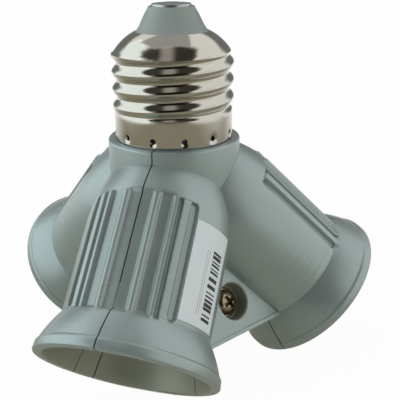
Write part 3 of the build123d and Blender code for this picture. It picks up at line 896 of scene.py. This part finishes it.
rolled_thread = thread_tree()
print("thread tree nodes:", len(rolled_thread.nodes))

# %% [markdown]
# ## Copies set out on points
# The punch marks of the cap and the screws of the webs repeat. A second small tree sets a copy of one
# object on every point of a carrier, turned as the point's "lean" attribute says, and makes the copies
# real.

# %% Copies tree
LEAN = "lean"


def copies_tree():
    """A Geometry Nodes tree that sets a copy of an object on every point."""
    tree, given = new_tree("set_out_copies", {"Copied": "NodeSocketObject"})
    copied = add_node(tree, "GeometryNodeObjectInfo", {"Object": given["Copied"]}).outputs["Geometry"]
    lean = add_node(tree, "GeometryNodeInputNamedAttribute", {"Name": LEAN}, data_type="FLOAT_VECTOR")
    turn = add_node(tree, "FunctionNodeEulerToRotation", {"Euler": lean.outputs["Attribute"]})
    spread = {"Points": given["Geometry"], "Instance": copied, "Rotation": turn.outputs["Rotation"]}
    copies = add_node(tree, "GeometryNodeInstanceOnPoints", spread)
    close_tree(tree, copies.outputs["Instances"], given["Material"])
    return tree


set_out_copies = copies_tree()


def copies_at(original, places, material):
    """One mesh with a copy of an object at every place."""
    points = bpy.data.meshes.new("places")
    points.from_pydata([place.translation * MM for place in places], [], [])
    leans = [angle for place in places for angle in place.to_euler()]
    points.attributes.new(LEAN, "FLOAT_VECTOR", "POINT").data.foreach_set("vector", leans)
    carrier = add_object("places", points)
    mesh = run_tree(carrier, set_out_copies, {"Copied": original, "Material": material})
    discard(carrier)
    return mesh


print("copies tree nodes:", len(set_out_copies.nodes))

# %% [markdown]
# ## The cap
# The cap starts as a plain turned sheet: a skirt, a length for the thread and a dome with a round hole.
# Twelve punch marks round the skirt stake it to the housing. Each is a dent that deepens to a small round
# hole. The dents are part of the turned form, and only the holes are cut, so the metal bends softly round
# them.

# %% Sheet of the cap
SHEET = 0.35
SKIRT, SKIRT_TOP, RIM_GAP = 12.75, 6.0, 0.25
THREAD_MEAN, THREAD_EASE = 12.62, 1.0
CAP_SHOULDER, CAP_TOP_RADIUS, CAP_HOLE, CAP_TOP, DOME_LEAN = 18.2, 12.7, 7.9, 22.6, -31.0
STAKES, STAKE_FIRST, STAKE_HEIGHT = 12, 28.5, 1.7
STAKE_DENT, STAKE_SIZE, DENT_DROP, DENT_STRETCH = 0.32, 0.66, 0.25, 0.9
STAKE_ANGLES = [math.radians(90 + STAKE_FIRST + k * 360.0 / STAKES) for k in range(STAKES)]


def stake_dents(height, angles):
    """Depth of the dents round the stakes at a height on the skirt."""
    depth = np.zeros(len(angles))
    for middle in STAKE_ANGLES:
        across = SKIRT * ((angles - middle + math.pi) % (2 * math.pi) - math.pi)
        reach = np.hypot(across, (height - STAKE_HEIGHT + DENT_DROP) * DENT_STRETCH) / STAKE_SIZE
        depth = np.maximum(depth, STAKE_DENT * np.exp(-reach * reach))
    return depth


def cap_columns():
    """Columns of points round the cap, close together at the stakes."""
    columns = set(np.round(np.linspace(0, 360, 240, endpoint=False), 3))
    for middle in np.degrees(STAKE_ANGLES) % 360:
        columns |= {round((middle + step) % 360, 3) for step in np.linspace(-7, 7, 17)}
    return np.radians(sorted(columns))


def cap_outside():
    """Outside of the cap's sheet before its thread is rolled, from the rim to the hole in the dome."""
    outside = [(SKIRT - 0.05, RIM_GAP)] + [(SKIRT, z) for z in np.linspace(RIM_GAP + 0.1, 3.6, 22)]
    outside += [(SKIRT, z) for z in np.linspace(4.2, SKIRT_TOP, 4)]
    for z in np.linspace(SKIRT_TOP + 0.2, CAP_SHOULDER - 0.1, 84):
        ease = np.clip((z - SKIRT_TOP) / THREAD_EASE, 0, 1)
        outside.append((SKIRT + (THREAD_MEAN - SKIRT) * ease, z))
    return outside + bulging_arc((CAP_TOP_RADIUS, CAP_SHOULDER), (CAP_HOLE, CAP_TOP), DOME_LEAN, 16)


def sheet_of(outside):
    """Closes a profile into a thin sheet by following it back on the inside."""
    line = np.asarray(outside, float)
    ahead = np.gradient(line, axis=0)
    ahead /= np.linalg.norm(ahead, axis=1)[:, None]
    inside = line + SHEET * np.column_stack([-ahead[:, 1], ahead[:, 0]])
    return [tuple(p) for p in line] + [tuple(p) for p in inside[::-1]]


plain_cap = make_solid("plain_cap", *turned(sheet_of(cap_outside()), cap_columns(), stake_dents))
print("points of the plain cap:", len(plain_cap.data.vertices))

# %% Thread and stakes of the cap
STAKE_HOLE, CAP_PHASE = 0.64, 0.80
CAP_THREAD = {"Pitch": 25.4 / 7, "Depth": 0.96, "Bottom": 5.8, "Top": 18.8, "Fade": 1.0}


def rolled(shell, sizes, phase, material):
    """Points in millimetres and faces of a plain shell after its thread is rolled."""
    lengths = {label: size * MM for label, size in sizes.items()}
    mesh = run_tree(shell, rolled_thread, {**lengths, "Phase": phase, "Material": material})
    return [v.co / MM for v in mesh.vertices], [list(p.vertices) for p in mesh.polygons]


cap_solid = make_solid("cap", *rolled(plain_cap, CAP_THREAD, CAP_PHASE, bright_nickel))
punch_places = []
for turn in STAKE_ANGLES:
    outward = Vector((math.cos(turn), math.sin(turn), 0))
    punch_places.append(frame_of(UP, outward, outward * SKIRT + UP * STAKE_HEIGHT))
punch = rod(STAKE_HOLE, -2, 1, count=24)
punches = add_object("punches", copies_at(punch, punch_places, bright_nickel))
cap_mesh = combined("cap", cap_solid, ("DIFFERENCE", punches))
discard(plain_cap, cap_solid, punch, punches)
finished("rolled_cap", cap_mesh, bright_nickel, "nickel", "cap_shell")

# %% [markdown]
# ## The nose and its contact
# The insulator shows as a tapered nose above the dome, with a soft foot and a rounded rim round the
# contact button. Both are moulded or turned in one piece, so one profile each is all they need.

# %% Nose and contact
NOSE_TOP = CAP_TOP + 5.4
CONTACT_SEAT = NOSE_TOP - 0.9
INSERT_BORE, INSERT_RADIUS, INSERT_FOOT, INSERT_SHOULDER, INSERT_ROOF = 9.4, 11.6, 5.5, 18.1, 17.1
NOSE_FOOT, NOSE_CURVE = 7.8, [(7.5, 0.2), (7.15, 0.65), (6.8, 1.25), (6.45, 2.0), (5.65, 3.6)]
SEAT_RADIUS, SHANK_HOLE = 4.38, 1.6
CONTACT_EDGE, CONTACT_ROLL, CONTACT_SHANK, SHANK_END = 4.2, 0.2, 1.5, 11.0
CONTACT_DOME, CONTACT_DEPTH = 20.1, 19.6

nose_profile = [(INSERT_BORE, INSERT_FOOT), (INSERT_RADIUS, INSERT_FOOT), (INSERT_RADIUS, INSERT_SHOULDER)]
nose_profile += [(NOSE_FOOT, INSERT_SHOULDER), (NOSE_FOOT, CAP_TOP - 0.05)]
nose_profile += [(radius, CAP_TOP + rise) for radius, rise in NOSE_CURVE] + [(5.0, NOSE_TOP - 0.75)]
nose_profile += arc((4.65, NOSE_TOP - 0.6), 0.3, 10, 90, 4)
nose_profile += [(4.45, NOSE_TOP - 0.3), (SEAT_RADIUS, NOSE_TOP - 0.4), (SEAT_RADIUS, CONTACT_SEAT)]
nose_profile += [(SHANK_HOLE, CONTACT_SEAT), (SHANK_HOLE, INSERT_ROOF), (INSERT_BORE, INSERT_ROOF)]
nose = make_solid("nose", *turned(nose_profile, even_angles(96)))
finished("tapered_nose", nose.data.copy(), nose_moulding, "insulator", "cap_insert")

contact_profile = [(0, SHANK_END), (CONTACT_SHANK, SHANK_END), (CONTACT_SHANK, CONTACT_SEAT)]
contact_profile += [(CONTACT_EDGE, CONTACT_SEAT)]
contact_profile += arc((CONTACT_EDGE - CONTACT_ROLL, NOSE_TOP), CONTACT_ROLL, 0, 75, 5)
contact_profile += arc((0, NOSE_TOP - CONTACT_DEPTH), CONTACT_DOME, 79.5, 90, 8)
contact = make_solid("contact", *turned(contact_profile, even_angles(72)))
finished("contact_button", contact.data.copy(), contact_metal, "contact_metal", "centre_contact")
discard(nose, contact)

# %% [markdown]
# ## Socket shells
# Each socket is a sheet cup with the same kind of thread, seen from its inside. It is turned and rolled
# in its own frame at the origin, and then set into its arm.

# %% Socket shells
SHELL_BORE, SHELL_SHEET, SHELL_STEP, SHELL_MOUTH = 12.3, 0.5, 22.2, 34.0
SHELL_FLOOR, SHELL_CUP, SHELL_HOLE, SHELL_ROWS = 18.6, 11.7, 7.0, 90
SHELL_THREAD = dict(CAP_THREAD, Depth=0.7, Bottom=22.6, Top=33.5, Fade=1.2)
SHELL_PHASE = 0.0
cup_bore, cup_floor = SHELL_CUP - SHELL_SHEET, SHELL_FLOOR + SHELL_SHEET
thread_rows = np.linspace(SHELL_STEP, SHELL_MOUTH, SHELL_ROWS)
shell_profile = [(SHELL_HOLE, SHELL_FLOOR), (SHELL_CUP, SHELL_FLOOR), (SHELL_CUP, SHELL_STEP - 0.8)]
shell_profile += [(SHELL_BORE + SHELL_SHEET, z) for z in thread_rows]
shell_profile += [(SHELL_BORE, z) for z in thread_rows[::-1]]
shell_profile += [(cup_bore, SHELL_STEP - 0.6), (cup_bore, cup_floor), (SHELL_HOLE, cup_floor)]
plain_shell = make_solid("plain_shell", *turned(shell_profile, even_angles(120)))
shell_form = rolled(plain_shell, SHELL_THREAD, SHELL_PHASE, shell_metal)
for i in range(ARMS):
    shell = make_solid("shell", *shell_form, arm_place(i))
    shell_mesh = shell.data.copy()
    finished(f"threaded_shell_{i + 1}", shell_mesh, shell_metal, "shell_metal", f"socket_shell_{i + 1}")
    discard(shell)
discard(plain_shell)

# %% [markdown]
# ## Screws in the webs
# The three screws are one detailed screw, made once and placed by Geometry Nodes on three points. Its
# head is a turned pan with a thin flange and a tapered cross recess, cut with two crossing wedges.

# %% Screws
HEAD_RADIUS, HEAD_HEIGHT, HEAD_SIDE, HEAD_ROUND = 2.75, 2.2, 0.75, 0.8
SHANK, SCREW_LENGTH = 1.5, 8.0
FLANGE_RADIUS, FLANGE_HEIGHT, FLANGE_ROUND = 3.35, 0.5, 0.2
CROSS_LONG, CROSS_WIDE, CROSS_DEPTH, CROSS_TAPER, CROSS_TURN = 1.95, 0.52, 1.5, (0.35, 0.8), 20

screw_profile = [(0, -SCREW_LENGTH), (SHANK, -SCREW_LENGTH), (SHANK, 0), (FLANGE_RADIUS, 0)]
screw_profile += arc((FLANGE_RADIUS - FLANGE_ROUND, FLANGE_HEIGHT - FLANGE_ROUND), FLANGE_ROUND, 0, 90, 4)
screw_profile += [(HEAD_RADIUS + 0.1, FLANGE_HEIGHT), (HEAD_RADIUS, FLANGE_HEIGHT - 0.15)]
screw_profile += [(HEAD_RADIUS, HEAD_SIDE)]
for turn in np.linspace(0.15, 1.0, 7) * math.pi / 2:
    height = HEAD_SIDE + (HEAD_HEIGHT - HEAD_SIDE) * math.sin(turn)
    screw_profile.append((HEAD_RADIUS * math.cos(turn) ** HEAD_ROUND, height))
screw_profile[-1] = (0, HEAD_HEIGHT)
screw = make_solid("screw", *turned(screw_profile, even_angles(48)))
cross_cuts = []
for turn in (CROSS_TURN, CROSS_TURN + 90):
    top = [(x * CROSS_LONG, y * CROSS_WIDE) for x, y in ((-1, -1), (1, -1), (1, 1), (-1, 1))]
    points = [(x, y, HEAD_HEIGHT + 0.5) for x, y in top]
    points += [(x * CROSS_TAPER[0], y * CROSS_TAPER[1], HEAD_HEIGHT - CROSS_DEPTH) for x, y in top]
    cross_cuts.append(make_solid("cross", points, BLOCK_FACES, Matrix.Rotation(math.radians(turn), 4, "Z")))
screw_mesh = combined("screw", screw, *[("DIFFERENCE", cut) for cut in cross_cuts])
use_soft_normals(screw_mesh)
one_screw = add_object("one_screw", screw_mesh)
screw_places = [web_place(i, -SCREW_AT) @ Matrix.Translation((0, 0, POCKET_FLOOR)) for i in range(ARMS)]
screws_mesh = copies_at(one_screw, screw_places, screw_metal)
discard(screw, one_screw, *cross_cuts)
finished("cross_screws", screws_mesh, screw_metal, "screw_metal", "web_screws")

# %% [markdown]
# ## The paper label
# A thin sticker lies on the side of one barrel. It is a small bent plate with a UV map of its own, so
# that whatever is printed on it can follow the paper.

# %% Label
LABEL_START, LABEL_END, LABEL_NEAR, LABEL_FAR = 17.0, 37.5, -47.0, -87.0
LABEL_LOW, LABEL_HIGH = BARREL + 0.02, BARREL + 0.12
LABEL_ROWS, LABEL_COLUMNS = 3, 21
PRINT_MAP = "print"


def label_plate():
    """Points and faces of the bent plate: two layers of a grid, joined round their border."""
    angles = np.radians(np.linspace(LABEL_NEAR, LABEL_FAR, LABEL_COLUMNS))
    points, faces = [], []
    for radius in (LABEL_LOW, LABEL_HIGH):
        for height in np.linspace(LABEL_START, LABEL_END, LABEL_ROWS):
            points += [(radius * math.cos(a), radius * math.sin(a), height) for a in angles]
    layer = len(points) // 2
    for row in range(LABEL_ROWS - 1):
        for first in range(row * LABEL_COLUMNS, (row + 1) * LABEL_COLUMNS - 1):
            faces.append([first, first + 1, first + LABEL_COLUMNS + 1, first + LABEL_COLUMNS])
            faces.append([corner + layer for corner in faces[-1]])
    grid = np.arange(layer).reshape(LABEL_ROWS, LABEL_COLUMNS)
    border = [*grid[0], *grid[1:, -1], *grid[-1, -2::-1], *grid[-2:0:-1, 0]]
    for a, b in zip(border, border[1:] + border[:1]):
        faces.append([a, b, b + layer, a + layer])
    return points, faces


label = make_solid("label", *label_plate(), arm_place(0))
label_mesh = label.data.copy()
print_map = label_mesh.uv_layers.new(name=PRINT_MAP)
for corner in label_mesh.loops:
    row, column = divmod(corner.vertex_index % (LABEL_ROWS * LABEL_COLUMNS), LABEL_COLUMNS)
    print_map.data[corner.index].uv = (column / (LABEL_COLUMNS - 1), row / (LABEL_ROWS - 1))
finished("plain_label", label_mesh, label_paper, "label_paper", "paper_label")
discard(label)

# %% [markdown]
# ## Bars on the label
# A plain block of bars and two fine rules, which spell nothing, give the paper the tone of a printed
# label. A shader group draws them from the label's UV map, so they stay sharp and need no picture: noise
# along the length, cut at a threshold, gives bars of uneven width.

# %% Label print
BAR_AREA, BAR_RATE, BAR_CUT = (0.54, 0.84, 0.20, 0.92), 27.0, 0.5
RULES, RULE_INK = [(0.37, 0.385, 0.24, 0.88), (0.425, 0.44, 0.24, 0.88)], 0.45
INK = (0.035, 0.035, 0.035)


def label_print_group():
    """1 on the bars of the label, less on its rules, 0 on its paper."""
    group, given, result = new_group("label_print", {"UV": VECTOR}, {"Ink": NUMBER})
    across, along, _ = add_node(group, "ShaderNodeSeparateXYZ", {"Vector": given["UV"]}).outputs

    def between(value, low, high):
        above = maths(group, "GREATER_THAN", value, low)
        return maths(group, "MULTIPLY", above, maths(group, "LESS_THAN", value, high))

    def block(left, right_end, bottom, top):
        return maths(group, "MULTIPLY", between(across, left, right_end), between(along, bottom, top))

    noise = {"W": maths(group, "MULTIPLY", along, BAR_RATE), "Scale": 1.0, "Detail": 0.0}
    uneven = add_node(group, "ShaderNodeTexNoise", noise, noise_dimensions="1D").outputs["Fac"]
    ink = maths(group, "MULTIPLY", maths(group, "GREATER_THAN", uneven, BAR_CUT), block(*BAR_AREA))
    for rule in RULES:
        ink = maths(group, "MAXIMUM", ink, maths(group, "MULTIPLY", block(*rule), RULE_INK))
    group.links.new(ink, result["Ink"])
    return group


paper_tree = label_paper.node_tree
paper_colour = paper_tree.nodes["Principled BSDF"].inputs["Base Color"]
print_place = add_node(paper_tree, "ShaderNodeUVMap", uv_map=PRINT_MAP).outputs["UV"]
bars = add_node(paper_tree, "ShaderNodeGroup", {"UV": print_place}, node_tree=label_print_group())
inked = blended(paper_tree, "MIX", bars.outputs["Ink"], paper_colour.links[0].from_socket, INK)
paper_tree.links.new(inked, paper_colour)
print("label print nodes:", len(bars.node_tree.nodes))

# %% [markdown]
# ## Floor
# The floor is pale and keeps the adapter's shadow. Rays from the camera and from shiny metal see it
# nearly white, as in a catalogue picture, while it still lights the adapter only as a pale floor would.
# From below it is clear, so the underside can be looked at too.

# %% Floor
FLOOR_HEIGHT, FLOOR_SIZE = cad_box[0][2], 6.0
FLOOR_COLOUR, FLOOR_ROUGHNESS, FLOOR_WHITENESS = (0.85, 0.85, 0.84, 1), 0.9, 0.97
WHITE = (1, 1, 1, 1)


def sheet(name, width, height, place):
    """A flat sheet of the studio."""
    x, y = width / 2, height / 2
    mesh = bpy.data.meshes.new(name)
    mesh.from_pydata([(-x, -y, 0), (x, -y, 0), (x, y, 0), (-x, y, 0)], [], [[0, 1, 2, 3]])
    flat = add_object(name, mesh)
    flat.matrix_world = place
    return flat


def background_rays(tree):
    """1 where a ray should see the white background: from the camera, a reflection or through glass."""
    rays = add_node(tree, "ShaderNodeLightPath").outputs
    reflected = maths(tree, "MAXIMUM", rays["Is Camera Ray"], rays["Is Glossy Ray"])
    return maths(tree, "MAXIMUM", reflected, rays["Is Transmission Ray"])


def floor_finish():
    """A matt pale floor that looks white from above and is clear from below."""
    paint = bpy.data.materials.new("pale_floor")
    paint.use_nodes = True
    tree = paint.node_tree
    matt = tree.nodes["Principled BSDF"]
    matt.inputs["Base Color"].default_value = FLOOR_COLOUR
    matt.inputs["Roughness"].default_value = FLOOR_ROUGHNESS
    glow = add_node(tree, "ShaderNodeEmission", {"Color": WHITE}).outputs["Emission"]
    whiteness = maths(tree, "MULTIPLY", background_rays(tree), FLOOR_WHITENESS)
    upper = add_node(tree, "ShaderNodeMixShader", {"Fac": whiteness, 1: matt.outputs["BSDF"], 2: glow})
    below = add_node(tree, "ShaderNodeNewGeometry").outputs["Backfacing"]
    clear = add_node(tree, "ShaderNodeBsdfTransparent").outputs["BSDF"]
    one_way = add_node(tree, "ShaderNodeMixShader", {"Fac": below, 1: upper.outputs["Shader"], 2: clear})
    tree.links.new(one_way.outputs["Shader"], tree.nodes["Material Output"].inputs["Surface"])
    return paint


floor = sheet("studio_floor", FLOOR_SIZE, FLOOR_SIZE, Matrix.Translation((0, 0, FLOOR_HEIGHT)))
floor.data.materials.append(floor_finish())
print("floor at", round(FLOOR_HEIGHT, 4), "m")

# %% [markdown]
# ## White background
# The world is pure white to the camera and in reflections, as in a catalogue picture. As a light it is much
# dimmer, so that the soft boxes still give the adapter its shape.

# %% White background
SKY_LIGHT = 0.38
world = bpy.data.worlds.new("studio")
bpy.context.scene.world = world
world.use_nodes = True
backdrop = world.node_tree.nodes["Background"]
backdrop.inputs["Color"].default_value = WHITE
levels = {"Value": background_rays(world.node_tree), "To Min": SKY_LIGHT, "To Max": 1.0}
strength = add_node(world.node_tree, "ShaderNodeMapRange", levels)
world.node_tree.links.new(strength.outputs["Result"], backdrop.inputs["Strength"])
print("light of the background:", SKY_LIGHT)

# %% [markdown]
# ## Camera
# The camera looks slightly down at the front arm. It was fitted to the picture of the real thing, so its
# target, distance and turn are measured values, and a touch of roll is in them.

# %% Camera
CAMERA_TARGET = Vector((5.296, 1.604, -15.250)) * MM
CAMERA_DISTANCE, CAMERA_RISE = 168.03 * MM, 0.3434
CAMERA_TURN, CAMERA_ROLL = math.radians(16.845), -0.0104
right = Vector((math.cos(CAMERA_TURN), math.sin(CAMERA_TURN), 0))
level = Vector((-math.sin(CAMERA_TURN), math.cos(CAMERA_TURN), 0))
forward = level * math.cos(CAMERA_RISE) - UP * math.sin(CAMERA_RISE)
upward = level * math.sin(CAMERA_RISE) + UP * math.cos(CAMERA_RISE)
rolled_right = right * math.cos(CAMERA_ROLL) + upward * math.sin(CAMERA_ROLL)
camera_data = bpy.data.cameras.new("camera")
camera_data.lens = 66.55
camera_data.sensor_width = 36.0
camera_data.sensor_fit = "HORIZONTAL"
camera_data.clip_start = 0.01
camera = add_object("camera", camera_data)
camera.matrix_world = frame_of(rolled_right, -forward, CAMERA_TARGET - forward * CAMERA_DISTANCE)
bpy.context.scene.camera = camera
print("camera at", [round(value, 4) for value in camera.matrix_world.translation])

# %% [markdown]
# ## Light and reflections
# Three soft boxes light the adapter: a broad one at the left, a weaker one at the right and a small one
# above. Bright nickel shows the room more than its own colour, so cards that only reflections see stand
# round it: a dark one in front, two dim ones and a paler one above, a grey one behind and a warm mat
# below. From behind, a lamp can't be seen in a reflection, so a dark card at its back stands for the box.

# %% Soft boxes and cards
SOFT_FROM, HARD_FROM, BACK_GAP = 0.55, 0.98, 0.01
STRAIGHT_UP = 0.99


def studio_place(side, height, ahead):
    """A place in metres to the right of the adapter, above it and towards the camera."""
    return right * side + UP * height - level * ahead


def reflection_card(name, width, height, colour, place, fade_from=SOFT_FROM):
    """A card that only reflections see; it fades towards its edges."""
    card = sheet(name, width, height, place)
    paint = bpy.data.materials.new(name)
    paint.use_nodes = True
    tree = paint.node_tree
    tree.nodes.remove(tree.nodes["Principled BSDF"])
    where = add_node(tree, "ShaderNodeTexCoord").outputs["Object"]
    x, y, _ = add_node(tree, "ShaderNodeSeparateXYZ", {"Vector": where}).outputs
    fades = []
    for axis, half in ((x, width / 2), (y, height / 2)):
        fades.append(smooth_rise(tree, maths(tree, "ABSOLUTE", axis), half * fade_from, half))
    fade = maths(tree, "MAXIMUM", *fades)
    glow = add_node(tree, "ShaderNodeEmission", {"Color": (*colour, 1)}).outputs["Emission"]
    clear = add_node(tree, "ShaderNodeBsdfTransparent").outputs["BSDF"]
    mix = add_node(tree, "ShaderNodeMixShader", {"Fac": fade, 1: glow, 2: clear})
    tree.links.new(mix.outputs["Shader"], tree.nodes["Material Output"].inputs["Surface"])
    card.data.materials.append(paint)
    card.visible_camera = False
    card.visible_diffuse = False
    card.visible_shadow = False


def lamp(name, place, size, power, colour):
    """A square soft box that faces the adapter, with a dark card at its back."""
    data = bpy.data.lights.new(name, "AREA")
    data.shape = "RECTANGLE"
    data.size = size
    data.size_y = size
    data.energy = power
    data.color = colour
    away = place.normalized()
    across = UP.cross(away).normalized() if abs(away.z) < STRAIGHT_UP else right
    box = add_object(name, data)
    box.matrix_world = frame_of(across, away, place)
    back = frame_of(across, away, place + away * BACK_GAP)
    reflection_card(f"{name}_back", size, size, (0, 0, 0), back, HARD_FROM)


lamp("left_box", studio_place(-0.82, 0.28, 0.0), 1.45, 9.0, (0.89, 0.98, 1.0))
lamp("right_box", studio_place(0.6, 0.20, 0.35), 0.8, 1.8, (1.0, 1.0, 0.95))
lamp("top_box", studio_place(-0.05, 0.7, -0.15), 0.6, 0.5, (1.0, 1.0, 1.0))
print("lamps:", len(bpy.data.lights))

# %% Reflection cards
DARK, DIM, PALE = (0.012, 0.009, 0.006), (0.05, 0.045, 0.04), (0.40, 0.38, 0.35)
GREY, WARM = (0.20, 0.21, 0.205), (0.33, 0.31, 0.24)
MAT_GAP = 0.001
ceiling_down = (level * 0.5 - UP).normalized()
mat_height = FLOOR_HEIGHT + MAT_GAP
CARDS = [
    ("dark_card", (0.86, 0.95), DARK, -level, (-0.02, 0.30, 0.45)),
    ("ceiling_card_left", (0.56, 0.95), DIM, ceiling_down, (-0.40, 0.62, 0.30)),
    ("ceiling_card_right", (0.56, 0.95), DIM, ceiling_down, (0.24, 0.62, 0.30)),
    ("ceiling_card_middle", (0.60, 0.95), PALE, ceiling_down, (-0.08, 0.64, 0.30)),
    ("back_card", (1.6, 0.6), GREY, level, (0.0, 0.2, -0.55)),
    ("warm_mat", (0.70, 1.0), WARM, UP, (-0.02, mat_height, 0.25)),
]
for name, size, colour, facing, spot in CARDS:
    reflection_card(name, *size, colour, frame_of(right, facing, studio_place(*spot)))
bpy.context.scene.view_settings.view_transform = "Standard"
print("reflection cards:", len(CARDS))
